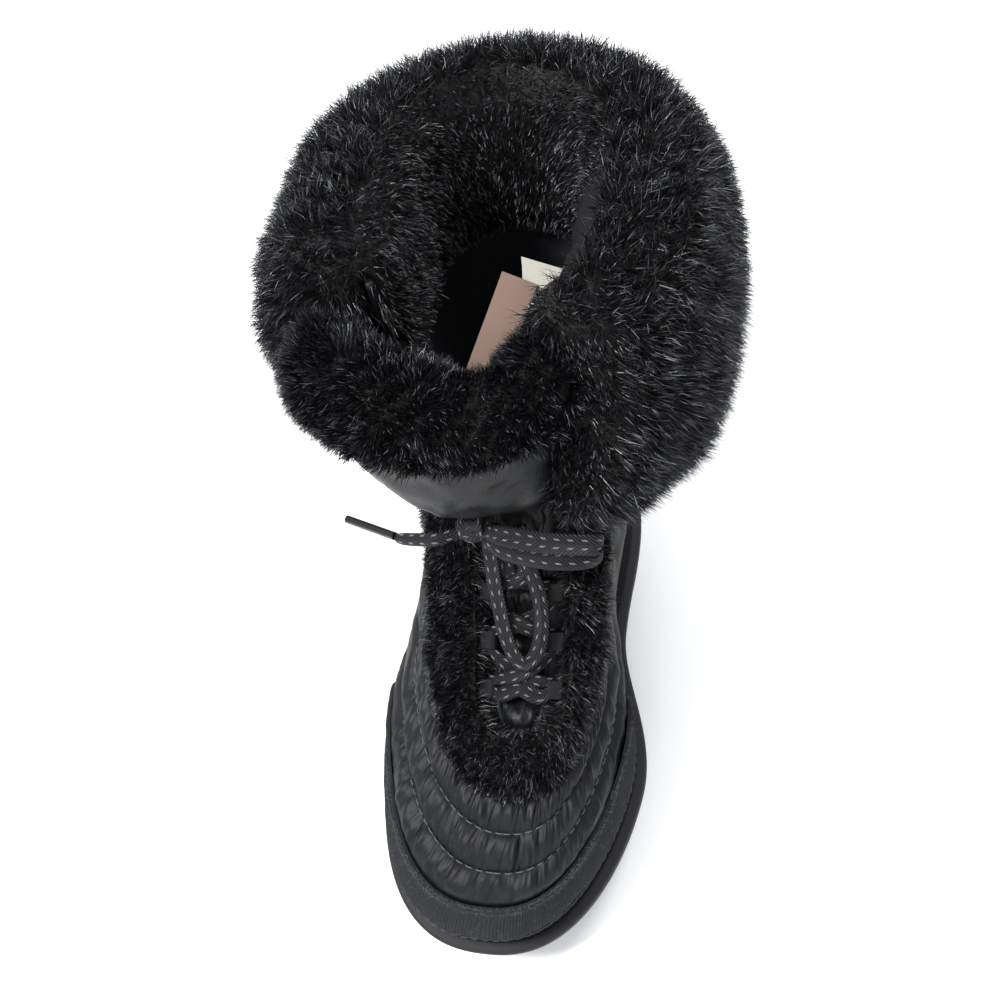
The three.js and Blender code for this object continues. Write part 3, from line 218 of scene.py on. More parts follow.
def last_point(u, t):
    """A point of the boot's form: u goes round from the toe by the inner side, t up the rings."""
    u, t = np.broadcast_arrays(np.asarray(u, float), np.asarray(t, float))
    r = through(RINGS, t)
    front, front_z, back, back_z, sag, fore, waist, heel, bend, ridge, square = np.moveaxis(r, -1, 0)
    c = -np.cos(2 * np.pi * u)
    widths = [w / round_end(s, square) for w, s in zip((fore, waist, heel), STATIONS)]
    half = along_ring(c, *widths) * round_end(c, square)
    middle = along_ring(c, *SOLE_BEND)
    middle = middle + (TOE_BEND - middle) * smooth((STATIONS[0] - c) / (1 + STATIONS[0]))
    side = np.sign(np.sin(2 * np.pi * u))
    x = bend * middle + ridge * np.clip(-c, 0, 1) ** 2 + side * half
    y = front + (back - front) * (1 + c) / 2
    z = front_z + (back_z - front_z) * (1 + c) / 2 - sag * (1 - c * c)
    return np.stack([x, y, z], -1)


def unit(v):
    """v at the length 1."""
    return v / np.maximum(np.linalg.norm(v, axis=-1, keepdims=True), 1e-9)


def last_normal(u, t):
    """The way out of the form at a point of it."""
    along = last_point(u + 0.004, t) - last_point(u - 0.004, t)
    up = last_point(u, np.minimum(t + 0.03, RIM_RING)) - last_point(u, np.maximum(t - 0.03, 0))
    return unit(np.cross(along, up))


def quilt_field(u, t):
    """The channel number: seams run where it is whole."""
    away = np.abs(u - np.round(u))
    side = FUR_EDGE - (away - PANEL_SIDE) / CHANNEL_TURN
    h = np.clip(0.5 + 0.5 * (side - t) / 0.55, 0, 1)
    return side + (t - side) * h - 0.55 * h * (1 - h)


def quilt_puff(u, t):
    """How far the channels stand proud of their seams."""
    q = quilt_field(u, t)
    fade = smooth((t - 1.7) / 0.5) * smooth((FUR_EDGE - q) / 0.2)
    channel = np.abs(np.sin(np.pi * np.maximum(q, 1))) ** 0.7
    return QUILT_PUFF * fade * np.where(q > 1, channel, 0.6)


def offset_point(u, t, out):
    """A point out millimetres off the form."""
    return last_point(u, t) + last_normal(u, t) * np.asarray(out)[..., None]


def turn_at(t, x):
    """The u of the point x millimetres to the inner side of the front of ring t."""
    t, x = np.broadcast_arrays(np.asarray(t, float), np.asarray(x, float))
    low, high = np.zeros(t.shape), np.full(t.shape, 0.25)
    front = last_point(0.0, t)[..., 0]
    side = np.sign(x)
    for _ in range(26):
        mid = (low + high) / 2
        inside = np.abs(last_point(side * mid, t)[..., 0] - front) < np.abs(x)
        low, high = np.where(inside, mid, low), np.where(inside, high, mid)
    return side * low


def wavy(x, seed, length=256):
    """Smooth noise of one number, from -1 to 1."""
    table = np.random.default_rng(seed).uniform(-1, 1, length)
    i = np.floor(x).astype(int)
    s = smooth(x - i)
    return table[i % length] * (1 - s) + table[(i + 1) % length] * s


def wavy2(x, y, seed):
    """Smooth noise of two numbers, from -1 to 1."""
    table = np.random.default_rng(seed).uniform(-1, 1, (64, 64))
    i, j = np.floor(x).astype(int), np.floor(y).astype(int)
    sx, sy = smooth(x - i), smooth(y - j)
    low = table[i % 64, j % 64] * (1 - sx) + table[(i + 1) % 64, j % 64] * sx
    high = table[i % 64, (j + 1) % 64] * (1 - sx) + table[(i + 1) % 64, (j + 1) % 64] * sx
    return low * (1 - sy) + high * sy


def add_mesh(name, points, faces, material, slot, shade=True, **attributes):
    """A mesh of points in millimetres in the last's frame, as a piece of the boot."""
    mesh = bpy.data.meshes.new(name)
    mesh.from_pydata(((np.asarray(points).reshape(-1, 3) + SHIFT) / 1000).tolist(), [], faces)
    for key, values in attributes.items():
        attribute = mesh.attributes.new(key, "FLOAT", "POINT")
        attribute.data.foreach_set("value", np.asarray(values, "f").ravel())
    mesh.materials.append(material)
    mesh.validate()
    if shade:
        mesh.shade_smooth()
    made = bpy.data.objects.new(name, mesh)
    bpy.context.scene.collection.objects.link(made)
    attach(made, "root")
    return made


def grid_faces(rows, columns, closed=False, keep=None, first=0, flip=False):
    """The quads of a grid of rows by columns, closed along its columns if told."""
    last = columns if closed else columns - 1
    i, j = np.meshgrid(np.arange(rows - 1), np.arange(last), indexing="ij")
    k = (j + 1) % columns
    quads = np.stack([i * columns + j, i * columns + k, (i + 1) * columns + k, (i + 1) * columns + j], -1)
    quads = quads[keep] if keep is not None else quads.reshape(-1, 4)
    quads = quads[:, ::-1] if flip else quads
    return (quads + first).tolist()


def slot_half(t):
    """Half the width of the throat's opening at ring t, on the inner and the outer side."""
    opening = smooth((t - 8.5) / 2.1)
    start = np.sqrt(np.clip((t - THROAT_END) / 0.35, 0, 1))
    narrow = THROAT_HALF * (0.25 + 0.75 * start)
    return narrow + (RIM_INNER - narrow) * opening, narrow + (RIM_OUTER - narrow) * opening


def clear_of_throat(u, t):
    """Which quads of a closed grid stay: those that the throat's opening doesn't touch."""
    inner, outer = slot_half(t)
    across = last_point(u, t)[..., 0] - last_point(0.0 * u, t)[..., 0]
    at_front = np.abs(u - np.round(u)) < 0.25
    cut = at_front & (t > THROAT_END) & (across < inner) & (across > -outer)
    cut = cut | np.roll(cut, -1, 1)
    return ~(cut[:-1] | cut[1:])


def gathers(u, t):
    """Puckers that run across the channels, strongest round the toe, and soft long creases."""
    q = quilt_field(u, t)
    channel = np.floor(q)
    between = np.abs(np.sin(np.pi * q)) ** 0.5
    toeward = 1 - 0.55 * smooth((np.abs(u - np.round(u)) - 0.1) / 0.1)
    pucker = 0
    for n in range(-6, 6):
        rows = wavy(u * 128 + n * 7.3 + 0.9 * (q - n), 40 + n) + 0.6 * wavy(u * 236 - 0.7 * q, 60 + n)
        pucker = np.where(channel == n, rows, pucker)
    fade = smooth((t - 2.0) / 0.4) * smooth((9.5 - t) / 1.5) * smooth((FUR_EDGE - q) / 0.2)
    crease = wavy2(u * 26 + t * 0.8, t * 1.7, 5) + 0.5 * wavy2(u * 61, t * 3.9, 6)
    return (0.95 * pucker * between * toeward + 0.6 * crease) * fade


def grained(material, scale, detail, strength, distance, **inputs):
    """A fine noise and the bump that it makes."""
    noise = node(material, "ShaderNodeTexNoise", Scale=scale, Detail=detail, **inputs).outputs[0]
    bump = node(material, "ShaderNodeBump", Strength=strength, Distance=distance, Height=noise)
    return noise, bump.outputs[0]


def read(material, name):
    """The values that a mesh carries under a name."""
    return node(material, "ShaderNodeAttribute", at={"attribute_name": name}).outputs["Fac"]


def calc(material, operation, *values):
    """One step of arithmetic in a material's pattern."""
    inputs = {f"i{k}": value for k, value in enumerate(values)}
    return node(material, "ShaderNodeMath", at={"operation": operation}, **inputs).outputs[0]


nylon, nylon_surface = new_material("black nylon taffeta")  # a soft grey sheen on the high folds
along, channel, gather = (read(nylon, name) for name in ("along", "channel", "gather"))
lane = node(
    nylon,
    "ShaderNodeCombineXYZ",
    X=calc(nylon, "MULTIPLY", along, 0.2),
    Y=calc(nylon, "MULTIPLY", channel, 0.7),
    Z=calc(nylon, "MULTIPLY", calc(nylon, "FLOOR", channel), 7.3),
)
folds = node(nylon, "ShaderNodeTexNoise", Scale=1.0, Detail=1.2, Roughness=0.45, Vector=lane.outputs[0])
ridge = calc(nylon, "ABSOLUTE", calc(nylon, "SUBTRACT", folds.outputs[0], 0.5))
near_seam = calc(nylon, "ABSOLUTE", calc(nylon, "SUBTRACT", calc(nylon, "FRACT", channel), 0.5))
deeper = calc(nylon, "ADD", calc(nylon, "MULTIPLY", near_seam, 1.3), 0.35)
height = calc(nylon, "MULTIPLY", ridge, calc(nylon, "MULTIPLY", deeper, gather))
_, weave = grained(nylon, 900.0, 2.0, 0.25, 0.0002)
soft = node(nylon, "ShaderNodeBump", Strength=0.9, Distance=0.0021, Height=height, Normal=weave)
principled(nylon, nylon_surface, "#08090b", 0.5, Normal=soft.outputs[0], Specular_IOR_Level=0.2)

COLUMNS, TOE_DENSITY = 560, 2.4  # the columns lie closer together round the toe
steps = (np.arange(4000) + 0.5) / 4000
dense = np.cumsum(np.where(np.abs(steps - 0.5) > 0.34, TOE_DENSITY, 1.0))
dense = np.concatenate([[0], dense]) / dense[-1]
U = np.interp(np.arange(COLUMNS) / COLUMNS, dense, np.arange(4001) / 4000)
ROWS = [(0, 2, 7), (2, 5.2, 89), (5.2, 9, 41), (9, RIM_RING, 13)]  # from ring to ring, and steps
T = np.concatenate([np.linspace(a, b, n + 1)[:-1] for a, b, n in ROWS] + [[RIM_RING]])
TT, UU = np.meshgrid(T, U, indexing="ij")
UU = np.where(UU > 0.5, UU - 1, UU)
shell = add_mesh(
    "nylon_shell",
    offset_point(UU, TT, quilt_puff(UU, TT) + gathers(UU, TT)),
    grid_faces(len(T), COLUMNS, True, clear_of_throat(UU, TT)),
    nylon,
    "nylon",
    along=UU * 600,
    channel=quilt_field(UU, TT),
    gather=smooth((TT - 2.0) / 0.3) * smooth((6.2 - TT) / 1.8) * smooth((0.26 - np.abs(UU)) / 0.12),
)
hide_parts("upper")

# Lining. A dark brushed knit glued to the inside of the shell, seen down the collar on the inner
# side of the foot. The insole is covered with the same knit.
WALL = 2.6
LINING_ROWS, LINING_COLUMNS = 60, 180


def dress(name, material):
    """Gives a modelled solid its material."""
    NODES[name].data.materials.clear()
    NODES[name].data.materials.append(material)


lining, lining_surface = new_material("dark brushed knit lining")  # matt, with a faint nap
_, nap = grained(lining, 700.0, 3.0, 0.5, 0.0004)
principled(lining, lining_surface, "#2a2b2f", 0.95, Normal=nap, Specular_IOR_Level=0.2)
inner_t = np.linspace(0, RIM_RING, LINING_ROWS)
TL, UL = np.meshgrid(inner_t, np.arange(LINING_COLUMNS) / LINING_COLUMNS, indexing="ij")
UL = np.where(UL > 0.5, UL - 1, UL)
lining_points = offset_point(UL, TL, quilt_puff(UL, TL) - WALL + 0.25 * wavy2(UL * 40, TL * 2, 9))
lining_faces = grid_faces(LINING_ROWS, LINING_COLUMNS, True, clear_of_throat(UL, TL), flip=True)
add_mesh("lining_wall", lining_points, lining_faces, lining, "lining")
dress("insole", lining)

# Throat binding. A thin folded nylon edge on both sides of the throat, from its closed end up to
# the rim, which hides where shell and lining meet.
BINDING, BINDING_DEPTH = 1.7, -1.1


def tube(points, radius, sides=8, closed=False, flat=None):
    """Points and faces of a tube along points. flat gives (across, thick) half sizes and the facing."""
    points = np.asarray(points, float)
    n = len(points)
    if closed:
        ahead = unit(np.roll(points, -1, 0) - np.roll(points, 1, 0))
    else:
        ahead = unit(np.gradient(points, axis=0))
    if flat is None:
        start = np.cross(ahead[0], [0.3, 0.2, 0.93])
        normal = [unit(start)]
        for k in range(1, n):
            v = normal[-1] - ahead[k] * (normal[-1] @ ahead[k])
            normal.append(unit(v))
        normal = np.array(normal)
        wide = thick = np.full(n, float(radius))
    else:
        wide, thick, facing = flat
        side = unit(np.cross(ahead, facing))
        normal = unit(np.cross(side, ahead))
    side = np.cross(ahead, normal)
    angle = np.arange(sides) / sides * 2 * np.pi
    power = 0.55 if flat is not None else 1.0
    ca = np.sign(np.cos(angle)) * np.abs(np.cos(angle)) ** power
    sa = np.sign(np.sin(angle)) * np.abs(np.sin(angle)) ** power
    wide, thick = np.broadcast_to(wide, n), np.broadcast_to(thick, n)
    rings = points[:, None] + side[:, None] * (ca[None, :, None] * wide[:, None, None])
    rings = rings + normal[:, None] * (sa[None, :, None] * thick[:, None, None])
    faces = grid_faces(n + (1 if closed else 0), sides, True)
    faces = [[v % (n * sides) for v in f] for f in faces]
    if not closed:
        faces += [list(range(sides))[::-1], list(range((n - 1) * sides, n * sides))]
    return rings.reshape(-1, 3), faces


def join(parts):
    """Several lists of points and faces as one."""
    points, faces, first = [], [], 0
    for p, f in parts:
        points.append(p)
        faces += [[v + first for v in face] for face in f]
        first += len(p)
    return np.concatenate(points), faces


edge_t = np.concatenate([np.linspace(THROAT_END, 6.15, 8), np.linspace(6.25, RIM_RING, 50)])
edge_depth = np.full(len(edge_t), BINDING_DEPTH)
inner_half, outer_half = slot_half(edge_t)
inner_edge = offset_point(turn_at(edge_t, inner_half), edge_t, edge_depth)
outer_edge = offset_point(turn_at(edge_t, -outer_half), edge_t, edge_depth)
edge_line = np.concatenate([outer_edge[::-1], inner_edge])
add_mesh("throat_binding", *tube(edge_line, BINDING), nylon, "nylon")

# Stitching. Grey polyester thread in a lock stitch, sunk in the seams between the channels. Each
# stitch is 3 mm long, with a gap of 1.5 mm to the next.
STITCH, STITCH_GAP, THREAD = 3.0, 1.5, 0.28


def seam_line(q, side, top=9.6):
    """A seam's path from the toe's middle up one side."""
    reach = PANEL_SIDE + (FUR_EDGE - q) * CHANNEL_TURN
    us = np.linspace(0, reach - 0.012, 120)
    low, high = np.full(120, q - 0.2), np.full(120, 12.0)
    for _ in range(24):
        mid = (low + high) / 2
        under = quilt_field(us, mid) < q - 0.0005
        low, high = np.where(under, mid, low), np.where(under, high, mid)
    ts = (low + high) / 2
    good = ts < 7
    us, ts = us[good], ts[good]
    up = np.linspace(ts[-1], top, 90)[1:]
    a, b = np.full(89, us[-1] - 0.02), np.full(89, reach + 0.02)
    for _ in range(24):
        mid = (a + b) / 2
        under = quilt_field(mid, up) > q
        a, b = np.where(under, mid, a), np.where(under, b, mid)
    return side * np.concatenate([us, (a + b) / 2]), np.concatenate([ts, up])


def stitches(line, normals):
    """Short threads along a line, each a little bent into the cloth at its ends."""
    length = np.concatenate([[0], np.cumsum(np.linalg.norm(np.diff(line, axis=0), axis=1))])
    parts, at = [], 0.0
    while at + STITCH < length[-1]:
        s = at + np.array([0, 0.15, 0.5, 0.85, 1.0]) * STITCH
        p = np.stack([np.interp(s, length, line[:, k]) for k in range(3)], -1)
        n = unit(np.stack([np.interp(s, length, normals[:, k]) for k in range(3)], -1))
        p = p + n * np.array([-0.25, 0.22, 0.38, 0.22, -0.25])[:, None]
        parts.append(tube(p, THREAD, 5))
        at += STITCH + STITCH_GAP
    return parts


thread, thread_surface = new_material("grey polyester thread")  # the only light line on the toe
principled(thread, thread_surface, "#4c4e53", 0.7, Specular_IOR_Level=0.2)
SEAMS = (3, 4)
threads = []
for seam in SEAMS:
    for side in (1, -1):
        su, st = seam_line(seam, side)
        line = offset_point(su, st, quilt_puff(su, st) + 0.1)
        threads += stitches(line, last_normal(su, st))
add_mesh("channel_stitching", *join(threads), thread, "nylon")

# Mudguard. A band of coarse ribbed textile round the toe, cut with raised round corners, glued over
# the nylon, with a cut top edge that frays into short fuzz, and held by two rows of stitches.
GUARD_END, GUARD_RISE, GUARD_OUT, GUARD_GAP = 0.205, 0.3, 2.1, 0.3
RIB_PITCH, RIB_DEPTH = 0.0026, 0.2
GUARD_ROWS, GUARD_COLUMNS = 36, 840


def guard_at(s, b, out):
    """A point of the band with its place on the form: s from end to end, b from its foot to its top."""
    corner = np.clip((np.abs(s) - 0.93) / 0.07, 0, 1)
    top = 2 + GUARD_RISE * smooth((np.abs(s) - 0.62) / 0.25) - (1 - np.sqrt(1 - corner**2))
    t = 0.06 + (top - 0.06) * b
    u = s * GUARD_END
    return offset_point(u, t, quilt_puff(u, t) + out), u, t


guard_cloth, guard_surface = new_material("coarse ribbed mudguard textile")  # dusty and matt


def ramp(material, factor, stops):
    """Colours along a pattern. stops are places and hex codes."""
    made = node(material, "ShaderNodeValToRGB", Fac=factor)
    elements = made.color_ramp.elements
    for k, (at, code) in enumerate(stops):
        inside = 0 < k < len(stops) - 1
        element = elements.new(at) if inside else elements[-1 if k else 0]
        element.position, element.color = at, (*linear(code), 1)
    return made.outputs[0]


grain, grain_bump = grained(guard_cloth, 1400.0, 4.0, 0.8, 0.0005, Roughness=0.7)
dusty = ramp(guard_cloth, grain, [(0.42, "#0f1012"), (0.72, "#48494c")])
principled(guard_cloth, guard_surface, dusty, 0.95, Normal=grain_bump, Specular_IOR_Level=0.12)
ends, levels = np.linspace(-1, 1, GUARD_COLUMNS), np.linspace(0, 1, GUARD_ROWS)
along_guard, up_guard = np.meshgrid(ends, levels, indexing="xy")
rib_phase = 2 * np.pi * along_guard * GUARD_END / RIB_PITCH + 1.1 * np.sin(up_guard * 5)
ribs = RIB_DEPTH * np.sin(rib_phase) * smooth((0.93 - up_guard) / 0.1)
at_top = np.clip((up_guard - 0.9) / 0.1, 0, 1)
rolled = 0.9 * smooth(at_top) * np.sin(at_top * np.pi * 0.9)
ease = np.minimum(smooth(up_guard / 0.04), smooth((1 - up_guard) / 0.02))
ease = ease * smooth((1 - np.abs(along_guard)) / 0.006)
uneven = 0.35 * wavy2(along_guard * 30, up_guard * 3, 12)
guard_out = GUARD_GAP + (GUARD_OUT - GUARD_GAP + ribs + rolled + uneven) * (0.15 + 0.85 * ease)
guard_points, _, _ = guard_at(along_guard, up_guard, guard_out)
guard_faces = grid_faces(GUARD_ROWS, GUARD_COLUMNS)
guard = add_mesh("mudguard_band", guard_points, guard_faces, guard_cloth, "mudguard")
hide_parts("mudguard")

FUZZ_COUNT, FUZZ_LENGTH, FUZZ_THICK = 3600, 2.4, 0.055
fibre, fibre_surface = new_material("frayed grey fibre")  # light specks along the band's edge
principled(fibre, fibre_surface, "#5b5e64", 0.8)
fuzz_rng = np.random.default_rng(31)
fs = fuzz_rng.uniform(-1, 1, FUZZ_COUNT)
at_edge = fuzz_rng.random(FUZZ_COUNT) < 0.75
fb = np.where(at_edge, fuzz_rng.uniform(0.93, 1.0, FUZZ_COUNT), fuzz_rng.uniform(0, 1, FUZZ_COUNT))
froot, fu, ft = guard_at(fs, fb, np.full(FUZZ_COUNT, GUARD_OUT))
loose = fuzz_rng.normal(size=(FUZZ_COUNT, 3)) * 0.6
fway = unit(last_normal(fu, ft) * 0.6 + loose + np.array([0, 0.2, 0.5]))
fside = unit(np.cross(fway, fuzz_rng.normal(size=(FUZZ_COUNT, 3)))) * FUZZ_THICK
ftip = froot + fway * (FUZZ_LENGTH * fuzz_rng.uniform(0.4, 1.2, FUZZ_COUNT))[:, None]
fuzz_points = np.stack([froot - fside, froot + fside, ftip], 1)
fuzz_faces = (np.arange(FUZZ_COUNT)[:, None] * 3 + [0, 1, 2]).tolist()
add_mesh("mudguard_fuzz", fuzz_points, fuzz_faces, fibre, "mudguard", shade=False)

dark_thread, dark_surface = new_material("dark grey bonded thread")  # barely lighter than the band
principled(dark_thread, dark_surface, "#3a3c41", 0.7, Specular_IOR_Level=0.2)
GUARD_STITCH_ROWS = (0.2, 0.3)
guard_threads = []
for row in GUARD_STITCH_ROWS:
    s = np.linspace(-0.975, 0.975, 400)
    line, gu, gt = guard_at(s, np.full(400, row), np.full(400, GUARD_OUT + 0.2))
    guard_threads += stitches(line, last_normal(gu, gt))
add_mesh("mudguard_stitching", *join(guard_threads), dark_thread, "mudguard")

# Outsole. One moulded unit of black rubber with a smooth lip against the mudguard, crossed ribs
# round its wall and a lugged tread. The modelled body keeps its arch and lugs, with its edges worn
# round, and its wall and lip get one smooth skin, SKIN millimetres outside them.
rubber, rubber_surface = new_material("black moulded rubber")  # dull, with pale dust in the grain
dust, dust_bump = grained(rubber, 260.0, 5.0, 0.3, 0.0003)
dust_tint = ramp(rubber, dust, [(0, "#09090a"), (1, "#1b1b1d")])
principled(rubber, rubber_surface, dust_tint, 0.7, Normal=dust_bump, Specular_IOR_Level=0.2)
dress("outsole", rubber)
worn = NODES["outsole"].modifiers.new("worn edges", "BEVEL")
worn.width, worn.segments = 0.0005, 2
worn.limit_method, worn.angle_limit = "ANGLE", math.radians(35)
NODES["outsole"].modifiers.new("weighted", "WEIGHTED_NORMAL").keep_sharp = True
SOLE_REACH, SKIN, SEAT_GAP = 7.95, 1.0, 0.3
TOE_SPRING, FLAT_FRONT, HEEL_LIFT, HEEL_ROUND = 11, -92, 2.5, 22
LUG_DEPTH, ARCH_RISE, ARCH_FRONT, ARCH_BACK = 5, 4, -12, 34
SEAT_HALF = 134.05
SOLE_TURNS = 640
WALL_PROFILE = [  # out from the lip, and the share of the height from the tread to the lip's top
    (-4.4, 0.03),
    (-2.9, 0.14),
    (-2.2, 0.4),
    (-1.5, 0.62),
    (-1.3, 0.67),
    (-0.2, 0.72),
    (0, 0.78),
    (0, 0.88),
    (-0.3, 0.96),
    (-1.4, 1.0),
    (-4.4, 1.01),
]
RIB_TURN, RIB_SLANT, RIB_HALF, RIB_TOP = 17.5, 1.5, 0.09, 0.62


def sole_height(y, level):
    """The height of a point of the wall at y, from 0 at the tread to 1 under the upper."""
    toe = TOE_SPRING * np.clip((FLAT_FRONT - y) / (HALF_LENGTH + FLAT_FRONT), 0, 1) ** 1.6
    heel = HEEL_LIFT * np.clip((y - (HALF_LENGTH - HEEL_ROUND)) / HEEL_ROUND, 0, 1) ** 2
    arch = ARCH_RISE * smooth((y - ARCH_FRONT) / 16) * (1 - smooth((y - ARCH_BACK) / 8))
    c = y / SEAT_HALF
    seat = TOE_TOP + (HEEL_TOP - TOE_TOP) * (1 + c) / 2 - WAIST_SAG * (1 - c * c)
    low = toe + heel + LUG_DEPTH + arch
    return low + (seat - SEAT_GAP - low) * level


wall_rubber, wall_surface = new_material("moulded side wall rubber")  # crossed ribs in low relief
wall_level = read(wall_rubber, "level")
slant = calc(wall_rubber, "MULTIPLY", wall_level, RIB_SLANT)
run = calc(wall_rubber, "MULTIPLY", read(wall_rubber, "along"), 1 / RIB_TURN)
ways = [calc(wall_rubber, "FRACT", calc(wall_rubber, way, run, slant)) for way in ("ADD", "SUBTRACT")]
crossed = calc(wall_rubber, "MAXIMUM", *(calc(wall_rubber, "COMPARE", w, 0.5, RIB_HALF) for w in ways))
relief = calc(wall_rubber, "MULTIPLY", crossed, calc(wall_rubber, "LESS_THAN", wall_level, RIB_TOP))
_, wall_fine = grained(wall_rubber, 260.0, 5.0, 0.3, 0.0003)
ribbed = node(wall_rubber, "ShaderNodeBump", Strength=1.0, Distance=0.0018, Height=relief, Normal=wall_fine)
principled(wall_rubber, wall_surface, "#1c1c1f", 0.6, Normal=ribbed.outputs[0], Specular_IOR_Level=0.22)
wall_u = np.arange(SOLE_TURNS) / SOLE_TURNS
wall_foot = last_point(wall_u, 0 * wall_u)
wall_ahead = last_point(wall_u + 0.004, 0 * wall_u) - last_point(wall_u - 0.004, 0 * wall_u)
wall_out = unit(np.stack([wall_ahead[:, 1], -wall_ahead[:, 0], 0 * wall_u], -1))
wall_rows = []
for out, level in WALL_PROFILE:
    ring = wall_foot + wall_out * (SOLE_REACH + out + SKIN)
    ring[:, 2] = sole_height(ring[:, 1], level)
    wall_rows.append(ring)
wall_shape = (len(WALL_PROFILE), SOLE_TURNS)
add_mesh(
    "sole_side_wall",
    np.array(wall_rows),
    grid_faces(*wall_shape, True),
    wall_rubber,
    "rubber",
    along=np.broadcast_to(wall_u * 700, wall_shape),
    level=np.broadcast_to(np.array(WALL_PROFILE)[:, 1:], wall_shape),
)

# Tongue. Padded nylon that follows the throat under the laces, puffs up in glossy folds between
# them, and flares out over the bow as a softly creased crescent with a piped edge.
TONGUE_ROWS = [  # rise above the ankle, half width, cup, lean over the bow, middle
    (0.12, 16, 4, 0.34, 2),
    (0.34, 33, 14, 0.92, -6),
    (0.58, 41, 21, 1, -11),
    (0.8, 43, 23, 0.8, -12),
    (1, 43, 22, 0.45, -12),
]
TONGUE_FOOT, FOOT_HALF, FOOT_DEPTH = [5.45, 6.1, 6.8, 7.6, 8.4], 15.0, -4.8
TONGUE_TOP, TONGUE_BACK, TONGUE_FLARE = 228, 6, 27
TONGUE_DIP, DIP_AT, DIP_HALF = 8, 0.4, 0.3
TONGUE_HALF_THICK = 1.6
TONGUE_COLUMNS, TONGUE_STEPS = 80, 180
PUFFS = [  # place up the tongue, half length, height
    (0.106, 0.042, 6.6),
    (0.19, 0.02, 2.6),
    (0.258, 0.022, 3.2),
    (0.352, 0.024, 3.0),
    (0.44, 0.03, 2.4),
]


def tongue_grid():
    """The points that the tongue's middle passes through, in rows of nine."""
    rows = []
    s = np.linspace(-1, 1, 9)
    for t in TONGUE_FOOT:
        tt = np.full(9, t)
        turn = turn_at(tt, np.where(s < 0, -FOOT_HALF, FOOT_HALF)) * np.abs(s)
        rows.append(offset_point(turn, tt, np.full(9, FOOT_DEPTH)))
    for rise, half, cup, lean, middle in TONGUE_ROWS:
        dip = TONGUE_DIP * rise**3 * np.exp(-(((s - DIP_AT) / DIP_HALF) ** 2))
        y = TONGUE_BACK - TONGUE_FLARE * lean + cup * s * s
        z = ANKLE_FRONT + (TONGUE_TOP - ANKLE_FRONT) * rise - dip
        rows.append(np.stack([middle + s * half, y, z], -1))
    return np.array(rows)


TONGUE = tongue_grid()


def tongue_middle(a, b):
    """A point of the tongue's middle: a from -1 to 1 across it, b from 0 to 1 up it."""
    column = (a + 1) / 2 * 8
    row = b * (len(TONGUE) - 1)
    i = np.clip(np.floor(row).astype(int), 0, len(TONGUE) - 2)
    j = np.clip(np.floor(column).astype(int), 0, 7)
    s = (column - j)[..., None]

    def across(r):
        p1, p2 = TONGUE[r, j], TONGUE[r, j + 1]
        p0 = np.where((j > 0)[..., None], TONGUE[r, np.maximum(j - 1, 0)], 2 * p1 - p2)
        p3 = np.where((j < 7)[..., None], TONGUE[r, np.minimum(j + 2, 8)], 2 * p2 - p1)
        return curve(p0, p1, p2, p3, s)

    p0, p1, p2, p3 = (across(np.clip(i + k, 0, len(TONGUE) - 1)) for k in (-1, 0, 1, 2))
    p0 = np.where((i == 0)[..., None], 2 * p1 - p2, p0)
    p3 = np.where((i >= len(TONGUE) - 2)[..., None], 2 * p2 - p1, p3)
    return curve(p0, p1, p2, p3, (row - i)[..., None])


def tongue_point(a, b, out):
    """A point out millimetres in front of the tongue's middle."""
    across = tongue_middle(a + 0.02, b) - tongue_middle(a - 0.02, b)
    up = tongue_middle(a, b + 0.01) - tongue_middle(a, b - 0.01)
    return tongue_middle(a, b) + unit(np.cross(across, up)) * np.asarray(out)[..., None]


tongue_nylon, tongue_surface = new_material("glossy black nylon")  # shinier than the shell
_, tongue_weave = grained(tongue_nylon, 200.0, 3.0, 0.4, 0.0006)
principled(tongue_nylon, tongue_surface, "#0a0b0d", 0.38, Normal=tongue_weave, Specular_IOR_Level=0.3)
wide_at, high_at = np.linspace(-1, 1, TONGUE_COLUMNS), np.linspace(0, 1, TONGUE_STEPS)
AT, BT = np.meshgrid(wide_at, high_at, indexing="xy")
bulge = np.exp(-((AT / 0.55) ** 2))
puffs = sum(h * np.exp(-(((BT - at) / w) ** 2)) for at, w, h in PUFFS)
wrinkle = 0.5 * wavy2(AT * 7 + BT * 9, BT * 46, 21) + 0.3 * wavy2(AT * 15, BT * 90, 22)
crescent = 1.3 * wavy2(AT * 3.2 + BT * 6, BT * 19, 23) + 0.6 * wavy2(AT * 8 - BT * 9, BT * 34, 24)
low_part = smooth((0.5 - BT) / 0.08)
front_out = TONGUE_HALF_THICK + low_part * bulge * (puffs + wrinkle) + (1 - low_part) * crescent * 0.9
edge_round = np.sqrt(np.clip(1 - (np.abs(AT) ** 8), 0, 1))
front_face = tongue_point(AT, BT, front_out * (0.2 + 0.8 * edge_round))
back_face = tongue_point(AT, BT, -TONGUE_HALF_THICK * edge_round)
tongue_faces = grid_faces(TONGUE_STEPS, TONGUE_COLUMNS)
tongue_faces += grid_faces(TONGUE_STEPS, TONGUE_COLUMNS, first=AT.size, flip=True)
tongue = add_mesh("tongue_pad", np.stack([front_face, back_face]), tongue_faces, tongue_nylon, "nylon")
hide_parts("tongue")
PIPING = 1.5
pipe_b = np.linspace(0.58, 0.93, 50)
pipes = [tube(tongue_point(np.full(50, a), pipe_b, np.full(50, 0.4)), PIPING) for a in (-1.0, 1.0)]
add_mesh("tongue_piping", *join(pipes), nylon, "nylon")

# Faux fur. Deep black acrylic pile on a knitted back, in soft tufts that part and swirl; a few fibres
# carry painted glints on their tips. The modelled solids are the imported pile, and the loose ends
# stand on them.
TUFT, ROOT_SLIDE, SHORTEST = 9.0, 0.9, 1.2


